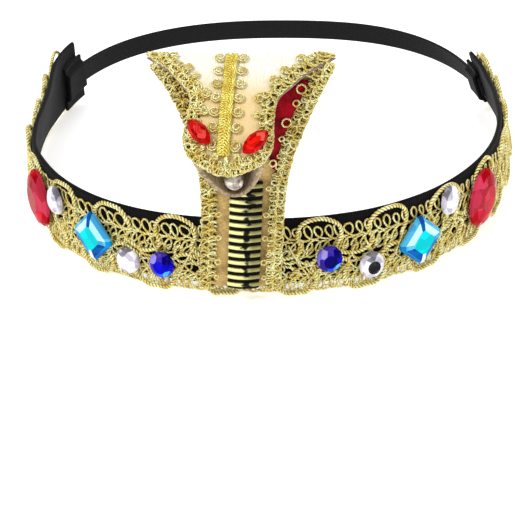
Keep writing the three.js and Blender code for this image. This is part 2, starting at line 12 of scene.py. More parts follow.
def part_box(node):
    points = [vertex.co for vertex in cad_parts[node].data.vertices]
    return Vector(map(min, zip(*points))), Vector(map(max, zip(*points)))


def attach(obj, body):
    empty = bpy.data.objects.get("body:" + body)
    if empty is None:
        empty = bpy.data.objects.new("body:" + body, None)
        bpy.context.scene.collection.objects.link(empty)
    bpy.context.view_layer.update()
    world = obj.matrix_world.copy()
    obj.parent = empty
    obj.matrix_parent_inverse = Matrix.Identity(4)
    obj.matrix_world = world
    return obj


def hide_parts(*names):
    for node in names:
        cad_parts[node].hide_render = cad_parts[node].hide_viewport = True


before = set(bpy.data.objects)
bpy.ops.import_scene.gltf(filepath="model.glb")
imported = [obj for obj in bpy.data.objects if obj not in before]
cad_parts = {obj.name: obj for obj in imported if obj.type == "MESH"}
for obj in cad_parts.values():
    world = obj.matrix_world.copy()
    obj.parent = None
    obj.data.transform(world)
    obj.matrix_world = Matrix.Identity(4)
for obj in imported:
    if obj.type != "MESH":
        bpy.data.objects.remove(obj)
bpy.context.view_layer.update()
MM = 0.001
TURN = 2 * math.pi

# View: the camera stands in front of the band and above it, a little to the right, and leans a
# little, as the photograph was taken. The picture is square.
CAMERA_PLACE = Vector((34.8, -401.0, 219.2)) * MM
CAMERA_TARGET = Vector((-5.8, 18.9, -44.6)) * MM
CAMERA_LEAN = math.radians(-2.1)
CAMERA_LENS = 90.46

camera = bpy.data.objects.new("camera", bpy.data.cameras.new("camera"))
camera.data.lens = CAMERA_LENS
camera.location = CAMERA_PLACE
camera.rotation_mode = "QUATERNION"
facing = (CAMERA_TARGET - CAMERA_PLACE).to_track_quat("-Z", "Y")
camera.rotation_quaternion = facing @ Quaternion((0, 0, 1), CAMERA_LEAN)
bpy.context.scene.collection.objects.link(camera)
bpy.context.scene.camera = camera

# Base band: a strip of black ribbon with a felted face, bent round the head and left open behind.
# The lace, the stones and the cobra are sewn and glued to its outside, so it shows along the top
# edge, through the lace and all round the inside.
RING_WIDTH = 166.5 * MM
RING_DEPTH = 181.4 * MM
RING_SQUARENESS = 2.325
RING_BACK_FLARE = 0.059
RING_END_FLARE = 0.02
RING_STEPS = 4000
# The band's top leans in near its two ends: the angle, and the distances from the front at which the
# lean starts, is full, begins to fade and is gone
LEAN_LEFT = {
    "angle": np.radians(13), "start": 90 * MM, "full": 130 * MM, "fade": 135 * MM, "gone": 182 * MM,
}
LEAN_RIGHT = {
    "angle": np.radians(20), "start": 95 * MM, "full": 175 * MM, "fade": 175 * MM, "gone": 255 * MM,
}
LEAN_PIVOT = 8 * MM
BAND_HALF_LENGTH = 182.5 * MM
BAND_WALL = 1.6 * MM
BAND_LOW = 3 * MM
BAND_HIGH = 26 * MM
BAND_RIGHT_DROP = 2 * MM
BAND_STATIONS = 381
BAND_CELLS = 10
BAND_WAVE = 34 * MM
BAND_SWAY = 0.12 * MM
BAND_RIB = 0.9 * MM
EDGE_ANGLES = np.radians([80, 50, 20])
RIPPLE_WAVES = 4
RIPPLE_SHORTEST = 0.6
RIPPLE_LONGEST = 1.7
RING_CENTRE_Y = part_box("base_band")[0].y + (RING_DEPTH + BAND_WALL) / 2


def head_ring():
    """Points of the line round the head, from behind round to behind, and distances from the front."""
    angle = np.linspace(-np.pi, np.pi, RING_STEPS + 1)
    power = 2 / RING_SQUARENESS
    across = np.sign(np.sin(angle)) * np.abs(np.sin(angle)) ** power
    behind = -np.sign(np.cos(angle)) * np.abs(np.cos(angle)) ** power
    flare = 1 + RING_BACK_FLARE * behind + RING_END_FLARE * behind**2
    points = np.column_stack([across * flare * RING_WIDTH / 2, RING_CENTRE_Y + behind * RING_DEPTH / 2])
    steps = np.linalg.norm(np.diff(points, axis=0), axis=1)
    along = np.concatenate([[0], np.cumsum(steps)])
    return points, along - along[-1] / 2


ring_points, ring_along = head_ring()
RING_LENGTH = ring_along[-1] - ring_along[0]
ring_tangents = np.gradient(ring_points, ring_along, axis=0)
ring_tangents /= np.linalg.norm(ring_tangents, axis=1)[:, None]


def from_front(along):
    """Distances along the ring from the front, brought to within half the ring either way."""
    return np.mod(along + RING_LENGTH / 2, RING_LENGTH) - RING_LENGTH / 2


def ring_frame(along):
    """The ring's points and its ways along and outward, at distances from the front."""
    turn = from_front(along)
    point = np.stack([np.interp(turn, ring_along, ring_points[:, k]) for k in (0, 1)], axis=-1)
    tangent = np.stack([np.interp(turn, ring_along, ring_tangents[:, k]) for k in (0, 1)], axis=-1)
    outward = np.stack([tangent[..., 1], -tangent[..., 0]], axis=-1)
    return point, tangent, outward


def eased(values, start, end):
    """Zero up to the start, one from the end on, and smooth between."""
    share = np.clip((values - start) / (end - start), 0, 1)
    return share**2 * (3 - 2 * share)


def lean_at(along):
    """The angles by which the band leans in at distances along the ring from the front."""
    turn = from_front(along)
    total = np.zeros_like(turn)
    for lean, distance in ((LEAN_LEFT, -turn), (LEAN_RIGHT, turn)):
        gained = eased(distance, lean["start"], lean["full"])
        total += lean["angle"] * gained * (1 - eased(distance, lean["fade"], lean["gone"]))
    return total


def on_ring(along, height, off):
    """Points at distances along the ring from the front, at heights, and off it outward."""
    along, height, off = np.broadcast_arrays(along, height, off)
    point, _, outward = ring_frame(along)
    lean = lean_at(along)
    above = height - LEAN_PIVOT
    reach = off * np.cos(lean) - above * np.sin(lean)
    leant = LEAN_PIVOT + above * np.cos(lean) + off * np.sin(lean)
    return np.concatenate([point + outward * reach[..., None], leant[..., None]], axis=-1)


def ripple(values, wave, seed):
    """A smooth uneven wave of about unit height, with bumps about one wave long."""
    draw = np.random.default_rng(seed)
    total = np.zeros_like(values)
    for stretch in draw.uniform(RIPPLE_SHORTEST, RIPPLE_LONGEST, RIPPLE_WAVES):
        total = total + np.sin(TURN * values / (wave * stretch) + draw.uniform(0, TURN))
    return total / math.sqrt(RIPPLE_WAVES)


def sheet_section(half, thick, cells):
    """Points across and through a sheet, for each half width: up one face, round, and down the other."""
    half = np.asarray(half, float)[:, None]
    flat = (half - thick / 2) * np.linspace(-1, 1, cells + 1)
    rim = half - thick / 2 + thick / 2 * np.sin(EDGE_ANGLES)
    face = np.concatenate([-rim, flat, rim[:, ::-1]], axis=1)
    curl = np.cos(EDGE_ANGLES)
    depth = np.concatenate([curl, np.ones(cells + 1), curl[::-1]]) * thick / 2
    across = np.concatenate([face, face[:, ::-1]], axis=1)
    through = np.broadcast_to(np.concatenate([depth, -depth[::-1]]), across.shape)
    return across, through


def piece_of(name, mesh, finish):
    """A new object with that mesh and that finish."""
    mesh.materials.clear()
    mesh.materials.append(finish.material)
    piece = bpy.data.objects.new(name, mesh)
    bpy.context.scene.collection.objects.link(piece)
    return piece


def note(piece, name, kind, values, domain="POINT"):
    """Keeps values on the piece's mesh under a name that its finish reads."""
    field = "color" if kind == "FLOAT_COLOR" else "vector" if kind == "FLOAT_VECTOR" else "value"
    attribute = piece.data.attributes.new(name, kind, domain)
    attribute.data.foreach_set(field, np.asarray(values, np.float32).ravel())


def loft(name, rings, cloth, finish):
    """A closed skin over two-faced rings of points, one at each station. cloth gives its flat places."""
    stations, around, _ = rings.shape
    index = np.arange(stations * around).reshape(stations, around)
    here, ahead = index[:-1], index[1:]
    walls = np.stack([here, np.roll(here, -1, 1), np.roll(ahead, -1, 1), ahead], axis=-1).reshape(-1, 4)
    face = np.arange(around // 2 - 1)
    caps = []
    for end in (index[0], index[-1]):
        caps.append(np.stack([end[face], end[face + 1], end[-2 - face], end[-1 - face]], axis=-1))
    mesh = bpy.data.meshes.new(name)
    mesh.from_pydata(rings.reshape(-1, 3).tolist(), [], np.concatenate([walls, *caps]).tolist())
    shell = bmesh.new()
    shell.from_mesh(mesh)
    bmesh.ops.recalc_face_normals(shell, faces=shell.faces)
    shell.to_mesh(mesh)
    shell.free()
    mesh.shade_smooth()
    piece = piece_of(name, mesh, finish)
    note(piece, "cloth", "FLOAT_VECTOR", cloth)
    return piece


def flat_places(along, across, through):
    """Where each point lies on the flat cloth: along, across, and off the middle of its thickness."""
    return np.stack(np.broadcast_arrays(along, across, through), axis=-1)


def paint(red, green, blue):
    """A colour given in screen values from 0 to 255."""
    shares = np.array([red, green, blue]) / 255
    linear = np.where(shares <= 0.04045, shares / 12.92, ((shares + 0.055) / 1.055) ** 2.4)
    return (*linear.tolist(), 1.0)


class Wire:
    """A node's output. Arithmetic on it adds Math nodes, and [name] is another output of the node."""

    def __init__(self, net, socket):
        self.net = net
        self.socket = socket

    def __getitem__(self, output):
        return Wire(self.net, self.socket.node.outputs[output])

    def __add__(self, other):
        return self.net.math("ADD", self, other)

    def __sub__(self, other):
        return self.net.math("SUBTRACT", self, other)

    def __rsub__(self, other):
        return self.net.math("SUBTRACT", other, self)

    def __mul__(self, other):
        return self.net.math("MULTIPLY", self, other)

    def __truediv__(self, other):
        return self.net.math("DIVIDE", self, other)

    __radd__ = __add__


class Net:
    """A node tree that is being wired. node() makes each of its nodes."""

    def __init__(self, tree):
        self.tree = tree

    def node(self, kind, settings=(), inputs=(), output=0):
        made = self.tree.nodes.new(kind)
        for name, value in dict(settings).items():
            setattr(made, name, value)
        self.plug(made, inputs)
        return Wire(self, made.outputs[output]) if made.outputs else None

    def plug(self, made, inputs):
        for name, value in dict(inputs).items():
            if isinstance(value, Wire):
                self.tree.links.new(value.socket, made.inputs[name])
            else:
                made.inputs[name].default_value = value

    def math(self, operation, first, second=0.0):
        return self.node("ShaderNodeMath", {"operation": operation}, {0: first, 1: second})


class Finish(Net):
    """A material, whose nodes end in one shader."""

    def __init__(self, name, inputs=()):
        self.material = bpy.data.materials.new(name)
        self.material.use_nodes = True
        super().__init__(self.material.node_tree)
        self.shader = self.tree.nodes["Principled BSDF"]
        self.set(inputs)

    def set(self, inputs):
        self.plug(self.shader, inputs)

    def place(self):
        return self.node("ShaderNodeTexCoord", output="Object")

    def noted(self, name, output="Vector"):
        return self.node("ShaderNodeAttribute", {"attribute_name": name}, output=output)

    def parts(self, vector):
        return self.node("ShaderNodeSeparateXYZ", inputs={"Vector": vector})

    def noise(self, vector, size, detail=3.0):
        inputs = {"Vector": vector, "Scale": 1 / size, "Detail": detail}
        return self.node("ShaderNodeTexNoise", inputs=inputs)

    def stretch(self, vector, scale):
        return self.node("ShaderNodeMapping", inputs={"Vector": vector, "Scale": scale})

    def mix(self, factor, first, second, how="MIX"):
        settings = {"data_type": "RGBA", "blend_type": how}
        return self.node("ShaderNodeMix", settings, {0: factor, 6: first, 7: second}, output=2)

    def smooth_step(self, value, low, high):
        settings = {"interpolation_type": "SMOOTHSTEP"}
        inputs = {"Value": value, "From Min": low, "From Max": high}
        return self.node("ShaderNodeMapRange", settings, inputs)

    def wave(self, value, pitch):
        return self.math("SINE", value * (TURN / pitch)) * 0.5 + 0.5

    def weave(self, flat, thread):
        return self.wave(flat["X"], thread) * 0.5 + self.wave(flat["Y"], thread) * 0.5

    def bump(self, height, distance, strength=1.0):
        inputs = {"Height": height, "Distance": distance, "Strength": strength}
        self.set({"Normal": self.node("ShaderNodeBump", inputs=inputs)})


def ribbon_finish(name, colour, dusty, rib):
    """Black ribbon: fine cross ribs, felted by short fibres that catch a little light."""
    finish = Finish(name, {"Specular IOR Level": 0.12, "Sheen Weight": 0.06, "Sheen Roughness": 0.5})
    thread = finish.parts(finish.noted("cloth"))
    ribs = finish.wave(thread["X"], rib) * finish.wave(thread["Y"], 0.8 * rib)
    fibres = finish.noise(finish.stretch(finish.noted("cloth"), (1.0, 3.0, 1.0)), 0.5 * MM, 5.0)
    shade = finish.smooth_step(fibres, 0.35, 0.75) * 0.6 + ribs * 0.4
    finish.set({"Base Color": finish.mix(shade, colour, dusty), "Roughness": 0.95 - ribs * 0.25})
    finish.bump(ribs * 0.7 + fibres * 0.6, 0.12 * MM)
    return finish


felt = ribbon_finish("black_felt", paint(5, 4, 5), paint(21, 19, 21), BAND_RIB)
band_along = np.linspace(-BAND_HALF_LENGTH, BAND_HALF_LENGTH, BAND_STATIONS)[:, None]
band_sunk = BAND_RIGHT_DROP * eased(band_along, LEAN_RIGHT["start"], LEAN_RIGHT["full"])
band_half = (BAND_HIGH - BAND_LOW - band_sunk) / 2
band_across, band_through = sheet_section(band_half[:, 0], BAND_WALL, BAND_CELLS)
band_height = BAND_LOW + band_half + band_across
band_sway = BAND_SWAY * ripple(band_along, BAND_WAVE, 3) * (band_across / band_half)
ribbon_band = loft(
    "ribbon_band",
    on_ring(band_along, band_height + band_sway, band_through + band_sway),
    flat_places(band_along, band_across, band_through),
    felt,
)
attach(ribbon_band, "root")
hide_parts("base_band")

# Elastic strap: flat black woven elastic with fine ridges along it. It runs round the back of the
# head, and its ends lie on the inside of the band, held by the tabs.
ELASTIC_LOW = 8.6 * MM
ELASTIC_HIGH = 16.6 * MM
ELASTIC_THICK = 1.2 * MM
ELASTIC_OVERLAP = 9 * MM
ELASTIC_STATIONS = 220
ELASTIC_CELLS = 28
ELASTIC_RIDGES = 7
ELASTIC_RIDGE_HEIGHT = 0.12 * MM
ELASTIC_RIB = 0.7 * MM
SEWN_GAP = 0.4 * MM
elastic_half = (ELASTIC_HIGH - ELASTIC_LOW) / 2
ELASTIC_OFF = -BAND_WALL / 2 - SEWN_GAP - ELASTIC_THICK / 2

elastic = ribbon_finish("black_elastic", paint(8, 7, 8), paint(25, 23, 25), ELASTIC_RIB)
elastic.set({"Specular IOR Level": 0.25})
elastic_start = BAND_HALF_LENGTH - ELASTIC_OVERLAP
elastic_along = np.linspace(elastic_start, RING_LENGTH - elastic_start, ELASTIC_STATIONS)[:, None]
elastic_across, elastic_through = sheet_section(
    np.full(ELASTIC_STATIONS, elastic_half), ELASTIC_THICK - ELASTIC_RIDGE_HEIGHT, ELASTIC_CELLS
)
ridge = np.cos(TURN * ELASTIC_RIDGES * elastic_across / (2 * elastic_half))
elastic_skin = elastic_through + np.sign(elastic_through) * ridge * ELASTIC_RIDGE_HEIGHT / 2
woven_elastic = loft(
    "woven_elastic",
    on_ring(elastic_along, ELASTIC_LOW + elastic_half + elastic_across, ELASTIC_OFF + elastic_skin),
    flat_places(elastic_along, elastic_across, elastic_through),
    elastic,
)
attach(woven_elastic, "root")
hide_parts("elastic_strap")

# End tabs: a piece of the same ribbon folded over each end of the band and sewn down on the inside,
# over the elastic's end.
TAB_PAST_END = 1.6 * MM
TAB_THICK = 1.2 * MM
TAB_HIGH = 20.5 * MM
TAB_SLOPE = 1.8 * MM
TAB_STATIONS = 60
TAB_CELLS = 8
TAB_OVER = ELASTIC_THICK + SEWN_GAP
# Each tab's length along the band and the height of its lower edge
TAB_SIZES = [
    {"side": "left", "sign": -1, "length": 16 * MM, "low": 3.4 * MM},
    {"side": "right", "sign": 1, "length": 11 * MM, "low": 6 * MM},
]
for size in TAB_SIZES:
    side = size["side"]
    tab_length = size["length"]
    tab_low = size["low"]
    tab_height = np.linspace(tab_low, TAB_HIGH, TAB_STATIONS)[:, None]
    tab_across, tab_through = sheet_section(np.full(TAB_STATIONS, tab_length / 2), TAB_THICK, TAB_CELLS)
    tab_middle = BAND_HALF_LENGTH + TAB_PAST_END - tab_length / 2
    beside = np.maximum(ELASTIC_LOW - tab_height, tab_height - ELASTIC_HIGH) - SEWN_GAP
    rise = TAB_OVER * (1 - eased(beside, 0, TAB_SLOPE))
    tab_off = -BAND_WALL / 2 - SEWN_GAP - rise - TAB_THICK / 2
    tab = loft(
        f"folded_tab_{side}",
        on_ring(size["sign"] * tab_middle + tab_across, tab_height, tab_off + tab_through),
        flat_places(tab_across, tab_height, tab_through),
        felt,
    )
    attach(tab, "root")
    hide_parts(f"end_tab_{side}")
    TAB_HIGH - tab_low

# Gold lace: gimp cord worked into an openwork edging and sewn on the band's outside. A stout twisted
# cord swings in arcs along the top and the bottom, and fine cord fills between in rows of small coils.
LACE_PITCH = 21.2 * MM
LACE_REPEATS = 9
LACE_HALF = 184 * MM
LACE_LOW_SHIFT = -7.3 * MM
LACE_MIDDLE = 13.3 * MM
CORD_THICK = 1.45 * MM
CORD_OFF = 2.25 * MM
CORD_JITTER = 0.3 * MM
CORD_LIFT = 0.15 * MM
CORD_CELLS = 12
CORD_TWIST = 2.2 * MM
GIMP_STRIP = 0.4 * MM
VINE_THICK = 0.95 * MM
VINE_OFF = 2.1 * MM
FINE_THICK = 0.74 * MM
FINE_OFF = 1.75 * MM
TANGLE_OFF = 1.45 * MM
COIL_DEPTH = 0.36 * MM
COIL_DRIFT = 0.35 * MM
COIL_DRIFT_WAVE = 11 * MM
COIL_UNEVEN = 0.14
COIL_UNEVEN_WAVE = 7 * MM
COIL_UNEVEN_SEED = 20
THREAD_POINTS = 12
THREAD_ARCH = 1.1 * MM
# The most, in millimetres, by which a row's ends are cut short and a thread's ends are moved
COIL_CUT_BACK = 3
THREAD_JITTER = 1.2
# The stout cord's swing over one repeat, in millimetres: along from the arc's middle, and height
# above the lace's middle line
CORD_SWING = [
    (-5.0, 3.2), (-6.3, 6.6), (-5.7, 10.0), (-3.3, 12.4), (0.0, 13.1),
    (3.3, 12.4), (5.7, 10.0), (6.3, 6.6), (5.0, 3.2), (7.0, 0.9), (10.6, -0.2), (14.2, 0.9),
]
# Rows of fine coils, tangled coils under them, and coils of middling cord: loops in a repeat, middle
# height, half height and reach along, in millimetres, and lean
COIL_ROWS = [
    {"loops": 7, "height": 21.3, "rise": 2.3, "reach": 1.8, "lean": -0.3},
    {"loops": 8, "height": 17.0, "rise": -1.8, "reach": 1.4, "lean": 0.2},
    {"loops": 6, "height": 9.4, "rise": 2.4, "reach": 1.7, "lean": -0.3},
    {"loops": 8, "height": 4.4, "rise": -2.2, "reach": 1.5, "lean": 0.2},
]
TANGLE_ROWS = [
    {"loops": 8, "height": 14.6, "rise": 1.6, "reach": 1.4, "lean": 0.5},
    {"loops": 7, "height": 6.4, "rise": 1.4, "reach": 1.4, "lean": 0.5},
    {"loops": 9, "height": 2.9, "rise": 1.7, "reach": 1.7, "lean": -0.4},
]
VINE_ROWS = [
    {"loops": 4, "height": 13.6, "rise": 2.6, "reach": 2.2, "lean": 0.3},
    {"loops": 3, "height": 8.0, "rise": -2.4, "reach": 2.6, "lean": 0.3},
]
# Loose straight threads in a repeat: along and height of both ends, in millimetres
LOOSE_THREADS = [
    {"start": (-8.0, 18.5), "end": (-2.2, 6.0)},
    {"start": (6.2, 17.8), "end": (0.8, 7.2)},
]


def smooth(points, cells):
    """A curve through points, with so many steps from each to the next."""
    points = np.asarray(points, float)
    ends = np.concatenate([2 * points[:1] - points[1:2], points, 2 * points[-1:] - points[-2:-1]])
    before, here, ahead, beyond = ends[:-3], ends[1:-2], ends[2:-1], ends[3:]
    share = np.linspace(0, 1, cells, endpoint=False)[:, None, None]
    bend = 2 * before - 5 * here + 4 * ahead - beyond
    swing = 3 * here - before - 3 * ahead + beyond
    line = here + 0.5 * ((ahead - before) * share + bend * share**2 + swing * share**3)
    return np.concatenate([line.transpose(1, 0, 2).reshape(-1, points.shape[1]), points[-1:]])


def coil(start, end, loops, rise, reach, depth, points=14):
    """A flattened coil: distances along, across and off the cloth of so many loops."""
    turn = np.linspace(0, TURN * loops, loops * points + 1)
    along = np.linspace(start, end, len(turn)) - reach * np.sin(turn)
    return along, rise * np.cos(turn), depth * np.sin(turn)


class Growth(Net):
    """A Geometry Nodes tree that grows a piece from a path, named sizes and a material."""

    def __init__(self, name, sizes):
        super().__init__(bpy.data.node_groups.new(name, "GeometryNodeTree"))
        face = self.tree.interface
        face.new_socket("Path", in_out="INPUT", socket_type="NodeSocketGeometry")
        for size in sizes:
            face.new_socket(size, in_out="INPUT", socket_type="NodeSocketFloat")
        face.new_socket("Material", in_out="INPUT", socket_type="NodeSocketMaterial")
        face.new_socket("Piece", in_out="OUTPUT", socket_type="NodeSocketGeometry")
        self.given = self.node("NodeGroupInput")

    def close(self, piece):
        whole = self.node("GeometryNodeRealizeInstances", inputs={"Geometry": piece})
        dressed = {"Geometry": whole, "Material": self.given["Material"]}
        finished = self.node("GeometryNodeSetMaterial", inputs=dressed)
        self.node("NodeGroupOutput", inputs={"Piece": finished})

    def store(self, geometry, name, kind, value):
        settings = {"data_type": kind, "domain": "POINT"}
        inputs = {"Geometry": geometry, "Name": name, "Value": value}
        return self.node("GeometryNodeStoreNamedAttribute", settings, inputs)


def grow(name, paths, growth, finish, sizes):
    """Runs a growth on paths and keeps what it makes as a plain mesh."""
    starts = np.cumsum([0] + [len(path) for path in paths])
    links = [(i, i + 1) for a, b in zip(starts, starts[1:]) for i in range(a, b - 1)]
    mesh = bpy.data.meshes.new(name)
    mesh.from_pydata(np.concatenate(paths).tolist(), links, [])
    piece = piece_of(name, mesh, finish)
    modifier = piece.modifiers.new("growth", "NODES")
    modifier.node_group = growth.tree
    values = {"Material": finish.material, **sizes}
    for socket in growth.tree.interface.items_tree:
        if socket.name in values:
            modifier[socket.identifier] = values[socket.name]
    grown = piece.evaluated_get(bpy.context.evaluated_depsgraph_get())
    piece.data = bpy.data.meshes.new_from_object(grown)
    piece.data.name = name
    piece.modifiers.remove(modifier)
    bpy.data.meshes.remove(mesh)
    return piece


def cord_growth():
    """A cord swept along each path: a round or lobed section that turns as it goes."""
    growth = Growth("wound_cord", ["Thickness", "Step", "Sides", "Plies", "Ply Depth", "Twist"])
    given = growth.given
    line = growth.node("GeometryNodeMeshToCurve", inputs={"Mesh": given["Path"]})
    inputs = {"Curve": line, "Length": given["Step"]}
    line = growth.node("GeometryNodeResampleCurve", {"mode": "LENGTH"}, inputs)
    length = growth.node("GeometryNodeSplineParameter", output="Length")
    line = growth.store(line, "along", "FLOAT", length)
    inputs = {"Curve": line, "Tilt": length * TURN / given["Twist"]}
    line = growth.node("GeometryNodeSetCurveTilt", inputs=inputs)
    inputs = {"Resolution": given["Sides"], "Radius": 1.0}
    section = growth.node("GeometryNodeCurvePrimitiveCircle", inputs=inputs)
    position = growth.node("GeometryNodeInputPosition")
    section = growth.store(section, "around", "FLOAT_VECTOR", position)
    angle = growth.node("GeometryNodeSplineParameter", output="Factor") * TURN
    lobes = growth.math("COSINE", angle * given["Plies"]) * given["Ply Depth"] + (1 - given["Ply Depth"])
    settings = {"operation": "SCALE"}
    inputs = {0: position, "Scale": lobes * given["Thickness"] * 0.5}
    lobed = growth.node("ShaderNodeVectorMath", settings, inputs)
    section = growth.node("GeometryNodeSetPosition", inputs={"Geometry": section, "Position": lobed})
    inputs = {"Curve": line, "Profile Curve": section, "Fill Caps": True}
    growth.close(growth.node("GeometryNodeCurveToMesh", inputs=inputs))
    return growth


wound_cord = cord_growth()
PLIES = {"Plies": 2, "Twist": CORD_TWIST}
STOUT_CORD = {**PLIES, "Thickness": CORD_THICK, "Step": 0.3 * MM, "Sides": 10, "Ply Depth": 0.15}
VINE_CORD = {**STOUT_CORD, "Thickness": VINE_THICK, "Sides": 8}
FINE_CORD = {**PLIES, "Thickness": FINE_THICK, "Step": 0.45 * MM, "Sides": 6, "Ply Depth": 0.1}


def gimp_finish(name, deep, bright, crease_shade):
    """Gimp: a flat metal strip wound on two twisted plies, with painted shade in the crease between them,
    and bright where rubbed.
    """
    finish = Finish(name, {"Metallic": 0.45, "Specular IOR Level": 0.5})
    around = finish.parts(finish.noted("around"))
    angle = finish.math("ARCTAN2", around["Y"], around["X"])
    winding = finish.math("SINE", finish.noted("along", "Fac") * (TURN / GIMP_STRIP) + angle) * 0.5 + 0.5
    patches = finish.noise(finish.place(), 2.6 * MM)
    rubbed = finish.smooth_step(patches, 0.3, 0.7)
    # Painted shade: the crease between the two plies is coloured dark, where shade falls between them.
    between = finish.smooth_step(finish.math("ABSOLUTE", around["Y"]), 0.72, 1.0)
    metal = finish.mix(rubbed, deep, bright)
    colour = finish.mix(between * 0.85, metal, crease_shade)
    finish.set({"Base Color": colour, "Roughness": 0.42 - rubbed * 0.12})
    finish.bump(winding, 0.06 * MM, 0.6)
    return finish


# Deep and bright gold, and the dark brown painted shade for the crease between the plies.
gold = gimp_finish("gold_gimp", paint(226, 200, 98), paint(255, 251, 184), paint(58, 36, 4))
draw = np.random.default_rng(21)


def lace_line(along, height, off, end_by):
    """A cord of the lace, cut where it passes the lace's ends by more than end_by."""
    keep = np.abs(along) <= LACE_HALF + end_by
    return on_ring(along[keep], height[keep], off[keep])


def swing_line(shift, flip):
    """The stout cord's swing repeated along the band, moved by shift, turned over where flip is -1."""
    points = []
    for repeat in range(-LACE_REPEATS - 1, LACE_REPEATS + 1):
        for along, height in CORD_SWING:
            points.append((repeat * LACE_PITCH + shift + along * MM, LACE_MIDDLE + flip * height * MM))
    points = np.array(points) + draw.uniform(-CORD_JITTER, CORD_JITTER, (len(points), 2))
    line = smooth(points, CORD_CELLS)
    line[:, 1] = np.maximum(line[:, 1], CORD_THICK / 2)
    return line


cord_lines = []
for shift, flip, wave in ((0.0, 1, 9 * MM), (LACE_LOW_SHIFT, -1, 7 * MM)):
    line = swing_line(shift, flip)
    lift = CORD_OFF + CORD_LIFT * ripple(line[:, 0], wave, 5)
    cord_lines.append(lace_line(line[:, 0], line[:, 1], lift, 0.0))
lace_cord = grow("lace_cord", cord_lines, wound_cord, gold, STOUT_CORD)


def coil_rows(rows, off, jitter_seed):
    """Lines of the rows of coils, each a little uneven, and cut unevenly at the lace's ends."""
    lines = []
    reach_out = (LACE_REPEATS + 1) * LACE_PITCH
    for number, row in enumerate(rows, jitter_seed):
        loops = row["loops"] * 2 * (LACE_REPEATS + 1)
        shape = (row["rise"] * MM, row["reach"] * MM, COIL_DEPTH)
        along, rise, depth = coil(-reach_out, reach_out, loops, *shape)
        along = along + row["lean"] * rise + COIL_DRIFT * ripple(along, COIL_DRIFT_WAVE, number)
        uneven = 1 + COIL_UNEVEN * ripple(along, COIL_UNEVEN_WAVE, number + COIL_UNEVEN_SEED)
        height = row["height"] * MM + rise * uneven
        lines.append(lace_line(along, height, off + depth, draw.uniform(-COIL_CUT_BACK, 0) * MM))
    return lines


lace_coils = grow("lace_coils", coil_rows(COIL_ROWS, FINE_OFF, 0), wound_cord, gold, FINE_CORD)
lace_tangle = grow("lace_tangle", coil_rows(TANGLE_ROWS, TANGLE_OFF, 5), wound_cord, gold, FINE_CORD)
lace_vines = grow("lace_vines", coil_rows(VINE_ROWS, VINE_OFF, 10), wound_cord, gold, VINE_CORD)

thread_lines = []
for repeat in range(-LACE_REPEATS, LACE_REPEATS + 1):
    for thread in LOOSE_THREADS:
        moved = draw.uniform(-THREAD_JITTER, THREAD_JITTER, (2, 2)) * MM
        ends = np.array([thread["start"], thread["end"]]) * MM + moved
        share = np.linspace(0, 1, THREAD_POINTS)
        along = repeat * LACE_PITCH + ends[0, 0] + share * (ends[1, 0] - ends[0, 0])
        height = ends[0, 1] + share * (ends[1, 1] - ends[0, 1])
        off = FINE_OFF + THREAD_ARCH * np.sin(np.pi * share) ** 0.5
        if np.all(np.abs(along) <= LACE_HALF):
            thread_lines.append(on_ring(along, height, off))
lace_threads = grow("lace_threads", thread_lines, wound_cord, gold, FINE_CORD)
for lace_piece in (lace_cord, lace_coils, lace_tangle, lace_vines, lace_threads):
    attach(lace_piece, "root")
    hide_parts("lace_trim")

# Stones: cut acrylic with foiled backs, glued on the lace, the same five on each side of the cobra.
# Each facet is painted in a shade of its own: the stone's colour with painted reflections from the foil,
# paler where a highlight is painted and darker where shade is painted.
STONE_OFF = 3.4 * MM
# Cuts: heights of the girdle, the belt and the top above the back, in millimetres, and the shares of the
# full width at the belt and the table
SMALL_CUT = {"girdle": 0.9, "belt": 1.8, "top": 2.5, "belt_share": 0.84, "table_share": 0.52}
SQUARE_CUT = {**SMALL_CUT, "table_share": 0.5}
DOMED_CUT = {"girdle": 1.0, "belt": 2.3, "top": 3.3, "belt_share": 0.84, "table_share": 0.5}
# Shades of the stones' facets: the stones' own colours, lightened into painted reflections and darkened
# into painted shade from facet to facet; the clear stones' white, pearl, grey and smoke are all painted
# reflection.
NAVY = paint(6, 0, 112)
ROYAL = paint(10, 4, 200)
AZURE = paint(28, 96, 250)
LILAC = paint(150, 138, 232)
VIOLET = paint(60, 44, 160)
WHITE = paint(236, 235, 240)
PEARL = paint(202, 196, 210)
GREY = paint(132, 130, 140)
SMOKE = paint(40, 40, 44)
CYAN = paint(0, 212, 218)
ICE = paint(190, 236, 242)
SKY = paint(80, 176, 220)
LAGOON = paint(10, 128, 196)
DEEP_BLUE = paint(0, 84, 168)
CRIMSON = paint(164, 0, 18)
RUBY = paint(198, 14, 42)
BLOOD = paint(218, 0, 22)
ROSE = paint(190, 50, 74)
PINK = paint(212, 116, 134)
